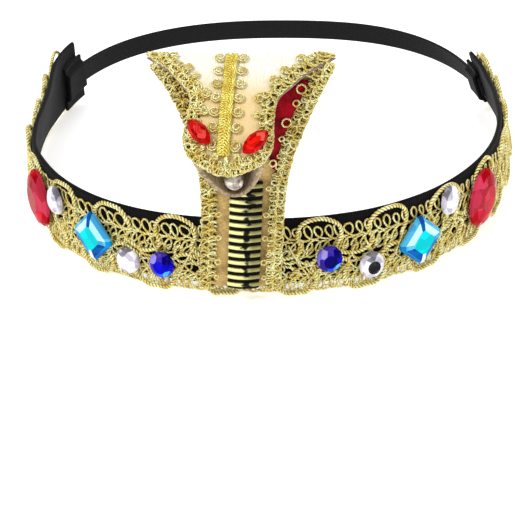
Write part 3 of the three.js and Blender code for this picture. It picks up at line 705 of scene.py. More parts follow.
# Stones by kind: sizes in millimetres, the number of sides, the cut, and the facets' shades, which are the
# stone's colour with painted highlights and painted shade, counted from the right, anticlockwise, for the
# belt and the crown of a left stone, the tables' shades on the left and the right, and whether a right
# stone is shaded the other way round
STONES = {
    "blue_round": {
        "half_wide": 3.95, "half_tall": 4.4, "sides": 12, "cut": SMALL_CUT, "mirrored": False,
        "belt": [ROYAL, NAVY, VIOLET, LILAC, LILAC, VIOLET, ROYAL, AZURE],
        "crown": [ROYAL, NAVY, VIOLET, LILAC, VIOLET, VIOLET, AZURE, SKY],
        "tables": (ROYAL, NAVY),
    },
    "clear_round": {
        "half_wide": 4.0, "half_tall": 4.5, "sides": 12, "cut": SMALL_CUT, "mirrored": False,
        "belt": [PEARL, WHITE, GREY, PEARL, WHITE, PEARL, GREY, WHITE],
        "crown": [WHITE, PEARL, GREY, WHITE, WHITE, PEARL, WHITE],
        "tables": (WHITE, SMOKE),
    },
    "aqua_square": {
        "half_wide": 8.4, "half_tall": 9.2, "sides": 4, "cut": SQUARE_CUT, "mirrored": True,
        "belt": [LAGOON, SKY, DEEP_BLUE, SKY, SKY, CYAN, WHITE, LAGOON],
        "crown": [SKY, ICE, DEEP_BLUE, ICE, SKY, LAGOON, WHITE, DEEP_BLUE],
        "tables": (CYAN, CYAN),
    },
    "clear_oval": {
        "half_wide": 3.5, "half_tall": 5.0, "sides": 12, "cut": SMALL_CUT, "mirrored": True,
        "belt": [PEARL, GREY, WHITE, PEARL, GREY, WHITE],
        "crown": [WHITE, PEARL, WHITE, PEARL, PEARL, WHITE, PEARL],
        "tables": (WHITE, WHITE),
    },
    "red_oval": {
        "half_wide": 7.7, "half_tall": 10.0, "sides": 16, "cut": DOMED_CUT, "mirrored": True,
        "belt": [ROSE, ROSE, CRIMSON, RUBY, PINK, PINK, PINK, CRIMSON],
        "crown": [ROSE, ROSE, CRIMSON, BLOOD, RUBY, RUBY, RUBY],
        "tables": (CRIMSON, RUBY),
    },
}
# Where each stone sits: distance along the ring, height, in millimetres, and its turn in degrees
STONE_PLACES = [
    {"kind": "blue_round", "side": "left", "along": -25.5, "height": 9.9, "turn": 0},
    {"kind": "clear_round", "side": "left", "along": -36.5, "height": 9.1, "turn": 0},
    {"kind": "aqua_square", "side": "left", "along": -48.9, "height": 13.8, "turn": -1},
    {"kind": "clear_oval", "side": "left", "along": -66.0, "height": 19.8, "turn": 0},
    {"kind": "red_oval", "side": "left", "along": -78.6, "height": 14.6, "turn": 0},
    {"kind": "blue_round", "side": "right", "along": 24.0, "height": 13.1, "turn": 0},
    {"kind": "clear_round", "side": "right", "along": 36.7, "height": 8.7, "turn": 0},
    {"kind": "aqua_square", "side": "right", "along": 52.7, "height": 12.6, "turn": 4},
    {"kind": "clear_oval", "side": "right", "along": 63.9, "height": 22.3, "turn": 0},
    {"kind": "red_oval", "side": "right", "along": 81.5, "height": 15.1, "turn": 0},
]
STONE_SLOTS = {
    "blue_round": "blue_stone", "clear_round": "clear_stone", "aqua_square": "aqua_stone",
    "clear_oval": "clear_stone", "red_oval": "red_stone",
}
# Size of the cells of painted glint and painted shade on each colour of stone, in millimetres
STONE_GLINT_CELLS = {"blue_stone": 2.6, "clear_stone": 1.5, "aqua_stone": 3.4, "red_stone": 3.0}
# How much of a square stone's half width its corners lose
CORNER_CUT = 0.1


def stone_finish(name, cell):
    """Foil-backed acrylic: the facets' shades, broken up by cells of painted glint and painted shade,
    under gloss.
    """
    finish = Finish(name, {"Roughness": 0.12, "Specular IOR Level": 0.03})
    finish.set({"Coat Weight": 0.02, "Coat Roughness": 0.03})
    inputs = {"Vector": finish.place(), "Scale": 1 / cell}
    # Painted glints and painted shade: cells that lighten or darken the facets' shades.
    behind = finish.node("ShaderNodeTexVoronoi", {"feature": "F1"}, inputs, output="Color")
    glint = finish.parts(behind)["X"]
    shade = finish.noted("shade", "Color")
    lighter = finish.mix(1.0, shade, shade, "SCREEN")
    darker = finish.mix(1.0, shade, shade, "MULTIPLY")
    lit = finish.mix(finish.smooth_step(glint, 0.62, 0.7) * 0.4, shade, lighter)
    finish.set({"Base Color": finish.mix(finish.smooth_step(glint, 0.35, 0.28) * 0.4, lit, darker)})
    return finish


def facet_shades(centres, shades, hand):
    """The shade of each facet, by its angle round the stone, counted the other way where hand is -1."""
    angle = np.arctan2(centres[:, 1], hand * centres[:, 0]) / TURN
    return [shades[int(round(share * len(shades))) % len(shades)] for share in angle]


def cut_stone(name, rings, step_cut, shades, table, hand, base, finish):
    """A stone from rings of local points, back first and table last, carried to its place by base."""
    sides = len(rings[0])
    points = np.concatenate(rings)
    faces = [list(range(sides))[::-1]]
    colours = [shades[0][0]]
    for level in range(len(rings) - 1):
        low, high = level * sides, (level + 1) * sides
        made = []
        for i in range(sides):
            j = (i + 1) % sides
            if step_cut or level == 0:
                made.append([low + i, low + j, high + j, high + i])
            else:
                made.append([low + i, low + j, high + i])
                made.append([low + j, high + j, high + i])
        middles = np.array([points[face].mean(axis=0) for face in made])
        colours += facet_shades(middles, shades[min(max(level - 1, 0), len(shades) - 1)], hand)
        faces += made
    faces.append(list(range(len(points) - sides, len(points))))
    colours.append(table)
    mesh = bpy.data.meshes.new(name)
    mesh.from_pydata(base(points).tolist(), [], faces)
    stone = piece_of(name, mesh, finish)
    note(stone, "shade", "FLOAT_COLOR", colours, "FACE")
    return stone


def stone_rings(stone):
    """Rings of a turned stone: its flat back, girdle, belt and table."""
    cut = stone["cut"]
    square = stone["sides"] == 4
    levels = [
        (1, 0), (1, cut["girdle"]), (cut["belt_share"], cut["belt"]), (cut["table_share"], cut["top"]),
    ]
    rings = []
    for number, (share, height) in enumerate(levels):
        if square:
            corner = np.repeat(np.arange(4) * 0.25, 2)
            ends = np.tile([-1, 1], 4) * CORNER_CUT / (share**0.5)
            angle = corner * TURN
            x = np.cos(angle) - np.sin(angle) * ends - np.cos(angle) * CORNER_CUT
            y = np.sin(angle) + np.cos(angle) * ends - np.sin(angle) * CORNER_CUT
        else:
            angle = (np.arange(stone["sides"]) + 0.5 * max(number - 1, 0)) / stone["sides"] * TURN
            x, y = np.cos(angle), np.sin(angle)
        size = np.array([stone["half_wide"], stone["half_tall"]]) * share
        ring = np.column_stack([x * size[0], y * size[1], np.full(len(x), height)])
        rings.append(ring * MM)
    return rings


stone_finishes = {slot: stone_finish(f"{slot}_cut", cell * MM) for slot, cell in STONE_GLINT_CELLS.items()}
for spot in STONE_PLACES:
    stone = STONES[spot["kind"]]
    node = f"{spot['kind']}_{spot['side']}"
    point, tangent, outward = ring_frame(np.array(spot["along"] * MM))
    turn = math.radians(spot["turn"])
    along_way = np.array([*tangent, 0.0])
    up_way = np.array([0.0, 0.0, 1.0])
    out_way = np.array([*outward, 0.0])
    origin = np.array([*point, spot["height"] * MM]) + out_way * STONE_OFF
    wide_way = along_way * math.cos(turn) + up_way * math.sin(turn)
    tall_way = up_way * math.cos(turn) - along_way * math.sin(turn)
    axes = np.stack([wide_way, tall_way, out_way])
    slot = STONE_SLOTS[spot["kind"]]
    cut = cut_stone(
        f"{node}_cut",
        stone_rings(stone),
        stone["sides"] == 4,
        (stone["belt"], stone["crown"]),
        stone["tables"][spot["side"] == "right"],
        -1 if stone["mirrored"] and spot["side"] == "right" else 1,
        lambda points, origin=origin, axes=axes: origin + points @ axes,
        stone_finishes[slot],
    )
    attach(cut, "root")
    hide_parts(node)

# Cobra hood: a stiffened sheet of tan satin standing on the front of the band, narrow below and
# spread into two wings above. It is glued to the lace, and its edges are turned.
HOOD_THICK = 2.5 * MM
HOOD_STATIONS = 72
HOOD_CELLS = 28
HOOD_PUCKER = 0.14 * MM
HOOD_PUCKER_WAVE = 9 * MM
HOOD_BRAID_WIDE = 4.6 * MM
HOOD_THREAD = 0.35 * MM
# The hood's edge: height, half width, and how far its middle line lies to the right, in millimetres
HOOD_ROWS = [
    (5.8, 12.3, -2.0), (20, 12.1, -0.95), (35, 12.2, -0.05), (44, 13.0, 0.45),
    (52, 14.6, 0.95), (61, 17.5, 1.5), (70, 21.3, 1.7), (76.6, 24.9, 1.3),
]
hood_low, hood_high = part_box("cobra_hood")
HOOD_FRONT = hood_low.y
hood_edge = smooth(np.array(HOOD_ROWS) * MM, 16)


def on_hood(across, height, off):
    """Points on the hood's front: across from its middle line, height, and off the cloth."""
    across, height, off = np.broadcast_arrays(across, height, off)
    aside = np.interp(height, hood_edge[:, 0], hood_edge[:, 2])
    return np.stack([aside + across, HOOD_FRONT - off, height], axis=-1)


def painted_braid_shade(finish, cloth, wide):
    """The cloth's colour, with painted shade, dark brown, under the braid along its rim."""
    ragged = finish.noted("rim", "Fac") + (finish.noise(finish.place(), 1.5 * MM) - 0.5) * (1.5 * MM)
    front = finish.smooth_step(finish.parts(finish.noted("cloth"))["Z"], 0.0, 0.4 * MM)
    # Painted shade: the front face turns dark brown under the braid, where its cords shade the cloth.
    under = finish.smooth_step(ragged, wide, wide - 0.6 * MM)
    return finish.mix(under * front * 0.92, cloth, paint(54, 36, 8))


def satin_finish(name, deep, bright, thread, braid=0.0):
    """Satin: fine crossing threads, uneven in shade, with painted shade under a braid so wide along its
    rim.
    """
    finish = Finish(name, {"Specular IOR Level": 0.35, "Sheen Weight": 0.2, "Sheen Roughness": 0.4})
    flat = finish.parts(finish.noted("cloth"))
    weave = finish.weave(flat, thread)
    blotch = finish.noise(finish.place(), 7 * MM, 4.0)
    grain = finish.noise(finish.stretch(finish.noted("cloth"), (4.0, 1.0, 1.0)), 1.2 * MM, 4.0)
    shade = finish.smooth_step(blotch * 0.5 + grain * 0.5, 0.3, 0.7)
    cloth = finish.mix(shade, deep, bright)
    colour = painted_braid_shade(finish, cloth, braid) if braid else cloth
    finish.set({"Base Color": colour, "Roughness": 0.72 - shade * 0.2})
    finish.bump(weave * 0.5 + grain, 0.1 * MM)
    return finish


# The hood's satin takes painted shade under its braids.
tan = satin_finish("tan_satin", paint(152, 116, 56), paint(226, 194, 124), HOOD_THREAD, HOOD_BRAID_WIDE)
hood_height = np.linspace(hood_low.z, hood_high.z, HOOD_STATIONS)[:, None]
hood_half = np.interp(hood_height[:, 0], hood_edge[:, 0], hood_edge[:, 1])
hood_across, hood_through = sheet_section(hood_half, HOOD_THICK, HOOD_CELLS)
pucker = HOOD_PUCKER * ripple(hood_across + 0.4 * hood_height, HOOD_PUCKER_WAVE, 8)
hood_points = on_hood(hood_across, hood_height, hood_through - HOOD_THICK / 2 - pucker)
hood_cloth = loft("hood_cloth", hood_points, flat_places(hood_height, hood_across, hood_through), tan)
note(hood_cloth, "rim", "FLOAT", hood_half[:, None] - np.abs(hood_across))
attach(hood_cloth, "root")
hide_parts("cobra_hood")
hood_area = 2 * np.trapz(hood_half, hood_height[:, 0])

# Velvet petals: crimson velvet glued inside each wing of the hood, rounded a little over the glue.
PETAL_THICK = 0.7 * MM
PETAL_DOME = 0.4 * MM
PETAL_STATIONS = 40
PETAL_CELLS = 12
# The petal's two edges, from its low tip to its high one: across and height, in millimetres
PETAL_INNER = [(8.3, 46.2), (5.2, 57.0), (7.0, 67.5), (15.8, 73.4)]
PETAL_OUTER = [(9.7, 46.2), (10.6, 54.5), (13.8, 64.5), (18.0, 73.4)]
PETAL_TIP = 0.9 * MM


def velvet_finish():
    """Crimson velvet: pile that lies this way and that, dark where it is brushed up."""
    finish = Finish("crimson_velvet", {"Roughness": 0.9, "Specular IOR Level": 0.15})
    finish.set({"Sheen Weight": 0.35, "Sheen Roughness": 0.35, "Sheen Tint": paint(255, 90, 110)})
    brushed = finish.noise(finish.place(), 3.5 * MM, 4.0)
    pile = finish.noise(finish.place(), 0.35 * MM, 2.0)
    shade = finish.smooth_step(brushed * 0.7 + pile * 0.3, 0.35, 0.65)
    finish.set({"Base Color": finish.mix(shade, paint(92, 0, 12), paint(172, 6, 30))})
    finish.bump(pile, 0.25 * MM)
    return finish


velvet = velvet_finish()
for side, sign in (("left", -1), ("right", 1)):
    inner = smooth(np.array(PETAL_INNER) * MM, PETAL_STATIONS // 3)
    outer = smooth(np.array(PETAL_OUTER) * MM, PETAL_STATIONS // 3)
    middle = (inner + outer) / 2
    reach = (outer - inner) / 2
    half = np.linalg.norm(reach, axis=1)
    way = reach / np.maximum(half, 1e-6)[:, None]
    way[0], way[-1] = way[1], way[-2]
    half = np.maximum(half, PETAL_TIP)
    across, through = sheet_section(half, PETAL_THICK, PETAL_CELLS)
    dome = PETAL_DOME * (1 - (across / half[:, None]) ** 2) * (through > 0)
    flat = middle[:, None] + way[:, None] * across[..., None]
    off = SEWN_GAP + PETAL_THICK / 2 + through + dome
    points = on_hood(sign * flat[..., 0], flat[..., 1], off)
    petal = loft(f"velvet_petal_{side}", points, flat_places(flat[..., 1], across, through), velvet)
    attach(petal, "root")
    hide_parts(f"hood_petal_{side}")

# Belly strip: a black strip with pale gold ribs across it, like the plates of a snake's belly, glued
# down the hood. It bulges a little. Along the ribs' middles runs a painted dark reflection, and painted
# shade darkens each rib towards its right end.
BELLY_HALF = 4.75 * MM
BELLY_ASIDE = 0.95 * MM
BELLY_BASE = 0.8 * MM
BELLY_BULGE = 0.9 * MM
BELLY_STATIONS = 60
BELLY_CELLS = 8
BELLY_RIBS = 14
RIB_PITCH = 2.57 * MM
RIB_START = 0.62
RIB_OFF = 0.3 * MM
RIB_TALL = 1.2 * MM
RIB_DEEP = 1.3 * MM
RIB_STEPS = 16
RIB_SIDES = 10
belly_low, belly_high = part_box("belly_strip")


def rib_growth():
    """A rounded bar across the strip at each point of its path, bulging forward in the middle."""
    growth = Growth("belly_ribs", ["Width", "Height", "Depth", "Bulge"])
    given = growth.given
    ends = {"Start": (-1.0, 0.0, 0.0), "End": (1.0, 0.0, 0.0)}
    line = growth.node("GeometryNodeCurvePrimitiveLine", inputs=ends)
    inputs = {"Curve": line, "Count": RIB_STEPS}
    line = growth.node("GeometryNodeResampleCurve", {"mode": "COUNT"}, inputs)
    inputs = {"Resolution": RIB_SIDES, "Radius": 1.0}
    section = growth.node("GeometryNodeCurvePrimitiveCircle", inputs=inputs)
    inputs = {"Curve": line, "Profile Curve": section, "Fill Caps": True}
    bar = growth.node("GeometryNodeCurveToMesh", inputs=inputs)
    halves = {"X": given["Width"] * 0.5, "Y": given["Depth"] * 0.5, "Z": given["Height"] * 0.5}
    size = growth.node("ShaderNodeCombineXYZ", inputs=halves)
    bar = growth.node("GeometryNodeTransform", inputs={"Geometry": bar, "Scale": size})
    place = growth.node("GeometryNodeInputPosition")
    across = growth.node("ShaderNodeSeparateXYZ", inputs={"Vector": place}) / halves["X"]
    forward = growth.node("ShaderNodeCombineXYZ", inputs={"Y": (across * across - 1.0) * given["Bulge"]})
    bar = growth.node("GeometryNodeSetPosition", inputs={"Geometry": bar, "Offset": forward})
    bar = growth.store(bar, "across", "FLOAT", across)
    points = growth.node("GeometryNodeMeshToPoints", inputs={"Mesh": given["Path"]})
    bars = growth.node("GeometryNodeInstanceOnPoints", inputs={"Points": points, "Instance": bar})
    growth.close(bars)
    return growth


def rib_finish():
    """Pale gilding on the ribs, with a painted dark reflection along the middle, rubbed through to black
    here and there, and painted shade darker towards the right.
    """
    finish = Finish("gilt_ribs", {"Specular IOR Level": 0.2})
    across = finish.noted("across", "Fac")
    drift = (finish.noise(finish.stretch(finish.place(), (0.2, 1.0, 1.0)), 5 * MM) - 0.5) * 1.2
    patches = finish.noise(finish.stretch(finish.place(), (1.0, 1.0, 1.6)), 3.0 * MM, 4.0)
    # Painted dark reflection along the middle of each rib; the patches are wear.
    middle = 1 - finish.smooth_step(finish.math("ABSOLUTE", across + drift - 0.16), 0.0, 0.5)
    wear_and_dark_reflection = finish.smooth_step(middle * 0.3 + patches, 0.66, 0.8)
    # Painted shade: each rib turns darker olive towards its right end.
    painted_side_shade = finish.smooth_step(across, -0.1, 0.6) * 0.7
    gilt = finish.mix(painted_side_shade, paint(230, 226, 156), paint(104, 94, 34))
    finish.set({"Base Color": finish.mix(wear_and_dark_reflection, gilt, paint(14, 11, 4))})
    finish.set({"Metallic": 0.4 - wear_and_dark_reflection * 0.4, "Roughness": 0.36 + wear_and_dark_reflection * 0.4})
    return finish


gilt = rib_finish()
rib_height = belly_low.z + (np.arange(BELLY_RIBS) + RIB_START) * RIB_PITCH
rib_points = on_hood(BELLY_ASIDE, rib_height, SEWN_GAP + BELLY_BASE + RIB_OFF)
rib_sizes = {"Width": 2 * BELLY_HALF, "Height": RIB_TALL, "Depth": RIB_DEEP, "Bulge": BELLY_BULGE}
belly_ribs = grow("belly_ribs", [rib_points], rib_growth(), gilt, rib_sizes)
belly_ribs.data.shade_smooth()
strip_height = np.linspace(belly_low.z, belly_high.z, BELLY_STATIONS)[:, None]
strip_half = np.full(BELLY_STATIONS, BELLY_HALF)
strip_across, strip_through = sheet_section(strip_half, BELLY_BASE, BELLY_CELLS)
strip_bulge = BELLY_BULGE * (1 - (strip_across / BELLY_HALF) ** 2) * (strip_through > 0)
strip_off = SEWN_GAP + BELLY_BASE / 2 + strip_through + strip_bulge
strip_points = on_hood(BELLY_ASIDE + strip_across, strip_height, strip_off)
strip_places = flat_places(strip_height, strip_across, strip_through)
belly_base = loft("belly_base", strip_points, strip_places, felt)
for strip_piece in (belly_ribs, belly_base):
    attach(strip_piece, "root")
    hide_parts("belly_strip")

# Hood braids: curly gold gimp sewn along both edges of the hood, with open rings of cord on the side
# towards the velvet.
HOOD_BRAID_PAST = 1.2 * MM
BRAID_EDGE = 0.1 * MM
GIMP_CORD = {**FINE_CORD, "Thickness": 0.64 * MM, "Step": 0.42 * MM}
# Lanes of curls in a braid: place and rise as shares of its width, and pitch, reach, depth and height
# off the cloth in millimetres
BRAID_LANES = [
    {"left": 0.16, "rise": 0.16, "pitch": 1.8, "reach": 0.8, "depth": 0.3, "off": 0.6},
    {"left": 0.5, "rise": -0.18, "pitch": 1.7, "reach": 0.8, "depth": 0.3, "off": 0.6},
    {"left": 0.84, "rise": 0.16, "pitch": 1.9, "reach": 0.8, "depth": 0.3, "off": 0.6},
    {"left": 0.32, "rise": -0.26, "pitch": 2.4, "reach": 1.0, "depth": 0.35, "off": 1.3},
    {"left": 0.7, "rise": 0.26, "pitch": 2.6, "reach": 1.0, "depth": 0.35, "off": 1.3},
    {"left": 0.5, "rise": 0.45, "pitch": 4.2, "reach": 0.8, "depth": 0.3, "off": 1.2},
]
# Rings of cord on the hood braids: height and radius, in millimetres
HOOD_RINGS = [
    (10.5, 0.7), (15.5, 0.9), (24.0, 0.8), (31.5, 0.8), (40.0, 0.7), (47.4, 1.0),
    (55.0, 0.75), (59.1, 1.3), (65.1, 0.95), (68.9, 1.35), (73.5, 1.1),
]
HOOD_RING_OFF = 1.8 * MM
CURL_POINTS = 16
CURL_DRIFT = 0.4 * MM
CURL_DRIFT_WAVE = 6 * MM
CURL_UNEVEN = 0.15
CURL_UNEVEN_WAVE = 5 * MM
CURL_UNEVEN_SEED = 40
SCROLL_POINTS = 36


class Rail:
    """A flat curve, on which things are placed by distance along it and to its left."""

    def __init__(self, points):
        self.points = np.asarray(points, float)
        steps = np.linalg.norm(np.diff(self.points, axis=0), axis=1)
        self.along = np.concatenate([[0], np.cumsum(steps)])
        self.length = self.along[-1]
        ways = np.gradient(self.points, self.along, axis=0)
        self.ways = ways / np.linalg.norm(ways, axis=1)[:, None]

    def at(self, along, left):
        x, y = (np.interp(along, self.along, self.points[:, k]) for k in (0, 1))
        dx, dy = (np.interp(along, self.along, self.ways[:, k]) for k in (0, 1))
        return x - dy * left, y + dx * left


def curly_braid(rail, wide, place, seed):
    """Cords of a curly braid whose outer edge is the rail: lanes of curls, some fine and some wide."""
    lines = []
    for number, lane in enumerate(BRAID_LANES):
        loops = round(rail.length / MM / lane["pitch"])
        shape = (lane["rise"] * wide, lane["reach"] * MM, lane["depth"] * MM)
        along, across, depth = coil(0, rail.length, loops, *shape, CURL_POINTS)
        drift = CURL_DRIFT * ripple(along, CURL_DRIFT_WAVE, seed + number)
        along = np.clip(along + drift, 0, rail.length)
        uneven = 1 + CURL_UNEVEN * ripple(along, CURL_UNEVEN_WAVE, seed + number + CURL_UNEVEN_SEED)
        left = lane["left"] * wide + across * uneven
        lines.append(place(*rail.at(along, BRAID_EDGE + left), lane["off"] * MM + depth))
    return lines


def scroll(along, left, start, end, turns):
    """Distances along and to the left of a cord curled round a middle, from one radius to another."""
    turn = np.linspace(0, TURN * turns, SCROLL_POINTS)
    radius = np.linspace(start, end, SCROLL_POINTS)
    return along + radius * np.sin(turn), left - radius * np.cos(turn)


for side, sign in (("left", -1), ("right", 1)):
    outline = np.column_stack([sign * hood_edge[:, 1], hood_edge[:, 0]])
    tip_way = outline[-1] - outline[-2]
    tip = outline[-1] + tip_way / np.linalg.norm(tip_way) * HOOD_BRAID_PAST
    outline = np.vstack([outline, tip])
    rail = Rail(outline if sign > 0 else outline[::-1])
    cords = curly_braid(rail, HOOD_BRAID_WIDE, on_hood, 60)
    for height, radius in HOOD_RINGS:
        along = rail.along[np.argmin(np.abs(rail.points[:, 1] - height * MM))]
        ring = scroll(along, HOOD_BRAID_WIDE + 0.8 * radius * MM, radius * MM, 0.9 * radius * MM, 1.05)
        cords.append(on_hood(*rail.at(*ring), HOOD_RING_OFF))
    braid = grow(f"hood_gimp_{side}", cords, wound_cord, gold, GIMP_CORD)
    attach(braid, "root")
    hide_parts(f"hood_braid_{side}")

# Cobra head: a sheet of cream cloth on a taupe backing, sloping forward from the hood's top and
# bending down to the snout. It thins towards its cut edge, which shows the backing.
HEAD_THICK = 2.4 * MM
HEAD_CROWN = 1.0 * MM
HEAD_RIM_THIN = 0.55
HEAD_RIM_WIDE = 4 * MM
HEAD_ASIDE_BACK = 0.85 * MM
HEAD_ASIDE_SNOUT = -1.3 * MM
HEAD_TWIST = 0.07
HEAD_BRAID_WIDE = 3.7 * MM
HEAD_THREAD = 0.4 * MM
HEAD_STATIONS = 80
HEAD_CELLS = 24
# The head's side view: distance ahead of the ring's centre, height, and half width, in millimetres
HEAD_ROWS = [
    (96.0, 79.7, 25.8), (100.7, 77.7, 19.2), (105.1, 75.6, 15.0), (109.0, 73.6, 11.8), (115.0, 70.1, 11.4),
    (119.0, 67.3, 11.9), (121.3, 64.7, 11.5), (122.9, 62.0, 9.6), (124.0, 59.9, 5.7), (124.6, 58.6, 2.4),
]
head_line = smooth(np.array(HEAD_ROWS) * MM, 20)
head_profile = Rail(np.column_stack([RING_CENTRE_Y - head_line[:, 0], head_line[:, 1]]))
HEAD_LENGTH = head_profile.length


def head_half(along):
    """The head's half width at distances from its back edge."""
    return np.interp(along, head_profile.along, head_line[:, 2])


def on_head(along, across, off):
    """Points on the head's upper face: along from its back edge, across its middle, and off the cloth."""
    along, across, off = np.broadcast_arrays(along, across, off)
    crown = HEAD_CROWN * np.maximum(0, 1 - (across / head_half(along)) ** 2)
    y, z = head_profile.at(along, -(crown + off))
    share = along / HEAD_LENGTH
    aside = HEAD_ASIDE_BACK + share * (HEAD_ASIDE_SNOUT - HEAD_ASIDE_BACK)
    return np.stack([aside + across, y, z - across * HEAD_TWIST * share], axis=-1)


def head_finish():
    """Cream cloth, nearly white towards the back, with painted shade under the braid along its rim, on a
    taupe backing that shows at the cut edge.
    """
    finish = Finish("cream_cloth", {"Specular IOR Level": 0.3})
    finish.set({"Sheen Weight": 0.2, "Sheen Roughness": 0.4})
    flat = finish.parts(finish.noted("cloth"))
    weave = finish.weave(flat, HEAD_THREAD)
    grain = finish.noise(finish.stretch(finish.noted("cloth"), (1.0, 3.0, 1.0)), 1.4 * MM, 4.0)
    backward = finish.smooth_step(flat["X"], 17 * MM, 4 * MM)
    pale = finish.mix(backward, paint(238, 212, 156), paint(253, 251, 240))
    cream = finish.mix(finish.smooth_step(grain, 0.4, 0.7) * 0.4, pale, paint(228, 196, 138))
    backing = finish.mix(grain, paint(104, 86, 74), paint(170, 148, 132))
    upper = finish.smooth_step(flat["Z"], 0.5 * HEAD_THICK * 0.72, 0.5 * HEAD_THICK * 0.97)
    # The cream face takes painted shade under the head braid along its rim.
    sheet = finish.mix(upper, backing, painted_braid_shade(finish, cream, HEAD_BRAID_WIDE))
    finish.set({"Base Color": sheet, "Roughness": 0.8 - grain * 0.15})
    finish.bump(weave * 0.5 + grain, 0.1 * MM)
    return finish


head_along = np.linspace(0, HEAD_LENGTH, HEAD_STATIONS)[:, None]
head_across, head_through = sheet_section(head_half(head_along[:, 0]), HEAD_THICK, HEAD_CELLS)
head_rim = head_half(head_along) - np.abs(head_across)
head_thin = 1 - HEAD_RIM_THIN * np.clip(1 - head_rim / HEAD_RIM_WIDE, 0, 1)
head_cloth = loft(
    "head_cloth",
    on_head(head_along, head_across, (head_through - HEAD_THICK / 2) * head_thin),
    flat_places(head_along, head_across, head_through),
    head_finish(),
)
note(head_cloth, "rim", "FLOAT", head_rim)
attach(head_cloth, "root")
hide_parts("cobra_head")
head_area = float(2 * np.trapz(head_half(head_along[:, 0]), head_along[:, 0]))
head_flat = (2 * float(head_line[:, 2].max()), float(HEAD_LENGTH))

# Head braid: the same curly gimp, sewn round the head's edge from one wing tip round the snout to the
# other, with small scrolls inward.
HEAD_SCROLL_PITCH = 4.7 * MM
HEAD_SCROLL_OFF = 1.0 * MM
HEAD_SCROLL_TURNS = 1.8
head_left = np.column_stack([head_profile.along, -head_line[:, 2]])
head_right = np.column_stack([head_profile.along, head_line[:, 2]])[::-1]
head_rail = Rail(np.concatenate([head_left, head_right]))
head_cords = curly_braid(head_rail, HEAD_BRAID_WIDE, on_head, 80)
for number in range(int(head_rail.length / HEAD_SCROLL_PITCH)):
    along = (number + draw.uniform(0.35, 0.65)) * HEAD_SCROLL_PITCH
    size = draw.uniform(0.85, 1.1) * MM
    curl = scroll(along, HEAD_BRAID_WIDE + 0.7 * size, 1.25 * size, 0.45 * size, HEAD_SCROLL_TURNS)
    head_cords.append(on_head(*head_rail.at(*curl), HEAD_SCROLL_OFF))
head_gimp = grow("head_gimp", head_cords, wound_cord, gold, GIMP_CORD)
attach(head_gimp, "root")
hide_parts("head_braid")

# Crown braid: a flat plait of bright yellow cord down the head, a little left of its middle, with a row
# of small scrolls sewn along each side.
PLAIT_STRANDS = 7
PLAIT_HALF = 1.5 * MM
PLAIT_PITCH = 5.6 * MM
PLAIT_START = 0.8 * MM
PLAIT_END = HEAD_LENGTH - 5.2 * MM
PLAIT_ASIDE_BACK = -2.0 * MM
PLAIT_ASIDE_SNOUT = -0.8 * MM
PLAIT_OFF = 0.95 * MM
PLAIT_WEAVE = 0.32 * MM
PLAIT_POINTS = 160
SCROLL_PITCH = 4.5 * MM
SCROLL_FIRST = 0.25
SCROLL_OUT = 3.1 * MM
SCROLL_WIDEST = 1.55 * MM
SCROLL_NARROWEST = 0.6 * MM
SCROLL_TURNS = 1.6
PLAIT_CORD = {**FINE_CORD, "Thickness": 0.78 * MM, "Step": 0.4 * MM}


def plait_aside(along):
    """How far the plait's middle lies to the right of the head's."""
    return np.interp(along, [PLAIT_START, PLAIT_END], [PLAIT_ASIDE_BACK, PLAIT_ASIDE_SNOUT])


# Deep and bright yellow, and the painted shade for the crease between the plies.
yellow = gimp_finish("yellow_gimp", paint(228, 202, 76), paint(255, 244, 132), paint(104, 72, 8))
plait_lines = []
plait_along = np.linspace(PLAIT_START, PLAIT_END, PLAIT_POINTS)
for strand in range(PLAIT_STRANDS):
    swing = TURN * (plait_along / PLAIT_PITCH + strand / PLAIT_STRANDS)
    weave_off = PLAIT_OFF + PLAIT_WEAVE * np.sin(2 * swing)
    plait_across = plait_aside(plait_along) + PLAIT_HALF * np.sin(swing)
    plait_lines.append(on_head(plait_along, plait_across, weave_off))
crown_plait = grow("crown_plait", plait_lines, wound_cord, yellow, PLAIT_CORD)
scroll_lines = []
for number in range(int((PLAIT_END - PLAIT_START) / SCROLL_PITCH) + 1):
    for sign in (-1, 1):
        middle = PLAIT_START + (number + SCROLL_FIRST) * SCROLL_PITCH
        along, out = scroll(middle, SCROLL_OUT, SCROLL_WIDEST, SCROLL_NARROWEST, SCROLL_TURNS)
        lift = np.linspace(0.8, 1.1, len(along)) * MM
        scroll_lines.append(on_head(along, plait_aside(along) + sign * out, lift))
crown_scrolls = grow("crown_scrolls", scroll_lines, wound_cord, gold, GIMP_CORD)
for crown_piece in (crown_plait, crown_scrolls):
    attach(crown_piece, "root")
    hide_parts("crown_braid")

# Eyes: pointed oval red stones glued slantwise on the head's braid.
EYE_LONG = 8.6 * MM
EYE_WIDE = 4.6 * MM
EYE_ACROSS = 7.3 * MM
EYE_AHEAD = {"left": 119.3 * MM, "right": 120.3 * MM}
EYE_TURN = math.radians(44)
EYE_OFF = 2.0 * MM
EYE_SIDES = 12
EYE_TAPER = 1.35
# Eye shades: scarlet is the stones' own red; the flame and blush facets are painted highlights.
SCARLET = paint(170, 2, 6)
FLAME = paint(212, 22, 12)
BLUSH = paint(226, 84, 70)
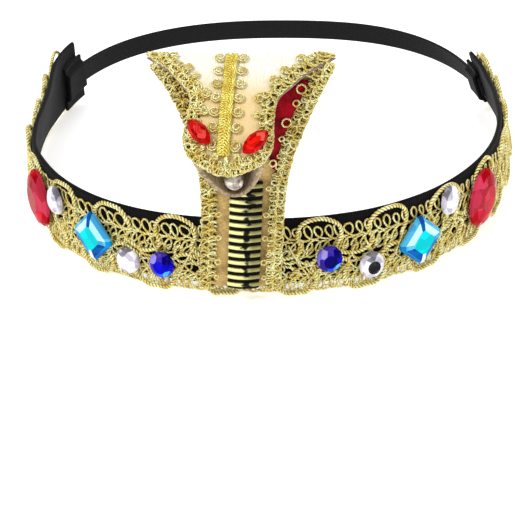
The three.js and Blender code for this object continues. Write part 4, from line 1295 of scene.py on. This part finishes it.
# Rings of an eye: share of its half sizes and height, in millimetres
EYE_RINGS = [(1.0, 0.0), (1.0, 1.2), (0.72, 2.4), (0.4, 2.9)]
eye_angle = np.arange(EYE_SIDES) / EYE_SIDES * TURN
eye_taper = np.sign(np.sin(eye_angle)) * np.abs(np.sin(eye_angle)) ** EYE_TAPER
eye_outline = np.column_stack([np.cos(eye_angle) * EYE_LONG, eye_taper * EYE_WIDE]) / 2
eye_rings = []
for share, height in EYE_RINGS:
    eye_rings.append(np.column_stack([eye_outline * share, np.full(EYE_SIDES, height * MM)]))
for side, sign in (("left", -1), ("right", 1)):
    eye_along = float(np.interp(EYE_AHEAD[side], head_line[:, 0], head_profile.along))
    centre = on_head(eye_along, sign * EYE_ACROSS, EYE_OFF)
    ahead = on_head(eye_along + MM, sign * EYE_ACROSS, EYE_OFF) - centre
    aside = on_head(eye_along, sign * EYE_ACROSS + MM, EYE_OFF) - centre
    ahead, aside = ahead / np.linalg.norm(ahead), aside / np.linalg.norm(aside)
    long_way = ahead * math.cos(EYE_TURN) - sign * aside * math.sin(EYE_TURN)
    wide_way = aside * math.cos(EYE_TURN) + sign * ahead * math.sin(EYE_TURN)
    axes = np.stack([long_way, wide_way, np.cross(long_way, wide_way)])
    eye = cut_stone(
        f"eye_stone_{side}",
        eye_rings,
        True,
        ([SCARLET, FLAME, SCARLET, SCARLET, SCARLET, FLAME], [FLAME, SCARLET, BLUSH, SCARLET]),
        FLAME,
        sign,
        lambda points, centre=centre, axes=axes: centre + points @ axes,
        stone_finishes["red_stone"],
    )
    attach(eye, "root")
    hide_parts(f"eye_{side}")

# Lower jaw: a trough of taupe cloth under the head, open in front as the mouth, with its cut edge
# showing as a flat rim.
JAW_WALL = 1.5 * MM
JAW_BACK = {"ahead": 98.5 * MM, "half": 8.6 * MM, "top": 75.2 * MM}
JAW_FRONT = {"ahead": 119 * MM, "half": 10.4 * MM, "top": 63.2 * MM}
JAW_ASIDE = -0.9 * MM
JAW_LOW = 44 * MM
JAW_CHIN = 110 * MM
JAW_LIP = 58.5 * MM
JAW_POINTED = 1.7
JAW_STATIONS = 30
JAW_CELLS = 48
JAW_THREAD = 0.45 * MM
# Length along the flat cloth for the whole trough, and for each radian round it
JAW_SPREAD = 20 * MM


def jaw_face(share, angle, inside):
    """Points of the jaw's outer or inner face: share from back to front, and angle round the trough."""
    half = JAW_BACK["half"] + share * (JAW_FRONT["half"] - JAW_BACK["half"]) - inside
    top = JAW_BACK["top"] + share * (JAW_FRONT["top"] - JAW_BACK["top"])
    height = top - (top - JAW_LOW - inside) * np.sin(angle) ** JAW_POINTED
    lip = np.clip((height - JAW_LOW) / (JAW_LIP - JAW_LOW), 0, 1)
    rim = JAW_CHIN + lip * (JAW_FRONT["ahead"] - JAW_CHIN)
    ahead = JAW_BACK["ahead"] + share * (rim - JAW_BACK["ahead"])
    across = JAW_ASIDE - half * np.cos(angle)
    return np.stack(np.broadcast_arrays(across, RING_CENTRE_Y - ahead, height), axis=-1)


taupe = satin_finish("taupe_cloth", paint(108, 86, 56), paint(210, 186, 144), JAW_THREAD)
jaw_share = np.linspace(0, 1, JAW_STATIONS)[:, None]
jaw_angle = np.linspace(0, np.pi, JAW_CELLS + 1)[None, :]
jaw_points = np.concatenate(
    [jaw_face(jaw_share, jaw_angle, 0.0), jaw_face(jaw_share, jaw_angle, JAW_WALL)[:, ::-1]], axis=1
)
jaw_around = np.concatenate([jaw_angle, jaw_angle[:, ::-1]], axis=1) * JAW_SPREAD
jaw_through = np.repeat([0.0, JAW_WALL], JAW_CELLS + 1)
jaw_places = flat_places(jaw_share * JAW_SPREAD, jaw_around, jaw_through)
jaw_cloth = loft("jaw_cloth", jaw_points, jaw_places, taupe)
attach(jaw_cloth, "root")
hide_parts("lower_jaw")

# Mouth bead: a silvered faceted bead glued in the front of the jaw.
BEAD_FACETS_ROUND = 12
BEAD_FACETS_TALL = 7
bead_low, bead_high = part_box("mouth_bead")


def bead_finish():
    """Silver lacquer over small facets, thin and greyer in places."""
    finish = Finish("silver_lacquer", {"Metallic": 0.5, "Coat Weight": 0.2, "Coat Roughness": 0.2})
    thin = finish.smooth_step(finish.noise(finish.place(), 1.6 * MM, 3.0), 0.4, 0.7)
    finish.set({"Base Color": finish.mix(thin, paint(234, 224, 212), paint(130, 114, 98))})
    finish.set({"Roughness": 0.32 + thin * 0.25})
    return finish


bead_mesh = bpy.data.meshes.new("silver_bead")
ball = bmesh.new()
bead_radius = (bead_high.x - bead_low.x) / 2
bead_facets = {"u_segments": BEAD_FACETS_ROUND, "v_segments": BEAD_FACETS_TALL}
bmesh.ops.create_uvsphere(ball, radius=bead_radius, **bead_facets)
bmesh.ops.translate(ball, verts=ball.verts, vec=(bead_low + bead_high) / 2)
ball.to_mesh(bead_mesh)
ball.free()
silver_bead = piece_of("silver_bead", bead_mesh, bead_finish())
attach(silver_bead, "root")
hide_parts("mouth_bead")

# Studio: a pale floor under the band and broad soft lights, bright from above and the left.
FLOOR_HALF = 4.0
LIGHTS_AIM = Vector((0.0, 0.0, 0.03))
WORLD_STRENGTH = 0.42
# Lights: place, width and power
LIGHTS = [
    {"name": "key", "place": (-0.55, -0.75, 1.15), "size": 0.5, "power": 10.5},
    {"name": "fill", "place": (0.85, -0.6, 0.8), "size": 0.8, "power": 4.5},
    {"name": "rim", "place": (0.1, 0.9, 1.0), "size": 0.8, "power": 6.0},
]
floor_mesh = bpy.data.meshes.new("floor")
corners = [(-1, -1), (1, -1), (1, 1), (-1, 1)]
floor_mesh.from_pydata([(x * FLOOR_HALF, y * FLOOR_HALF, 0.0) for x, y in corners], [], [(0, 1, 2, 3)])
pale = Finish("pale_floor", {"Roughness": 0.9, "Specular IOR Level": 0.1, "Emission Strength": 0.45})
pale.set({"Emission Color": paint(255, 255, 255)})
speck = pale.noise(pale.place(), 4 * MM, 2.0)
pale.set({"Base Color": pale.mix(speck, paint(250, 250, 250), paint(254, 254, 254))})
floor = piece_of("floor", floor_mesh, pale)
for spec in LIGHTS:
    lamp = bpy.data.lights.new(spec["name"], "AREA")
    lamp.size = spec["size"]
    lamp.energy = spec["power"]
    light = bpy.data.objects.new(spec["name"], lamp)
    light.location = spec["place"]
    light.rotation_mode = "QUATERNION"
    light.rotation_quaternion = (LIGHTS_AIM - Vector(spec["place"])).to_track_quat("-Z", "Y")
    bpy.context.scene.collection.objects.link(light)
world = bpy.data.worlds.new("studio")
world.use_nodes = True
background = world.node_tree.nodes["Background"]
background.inputs["Strength"].default_value = WORLD_STRENGTH
background.inputs["Color"].default_value = (1.0, 1.0, 1.0, 1.0)
bpy.context.scene.world = world
bpy.context.scene.view_settings.view_transform = "Standard"
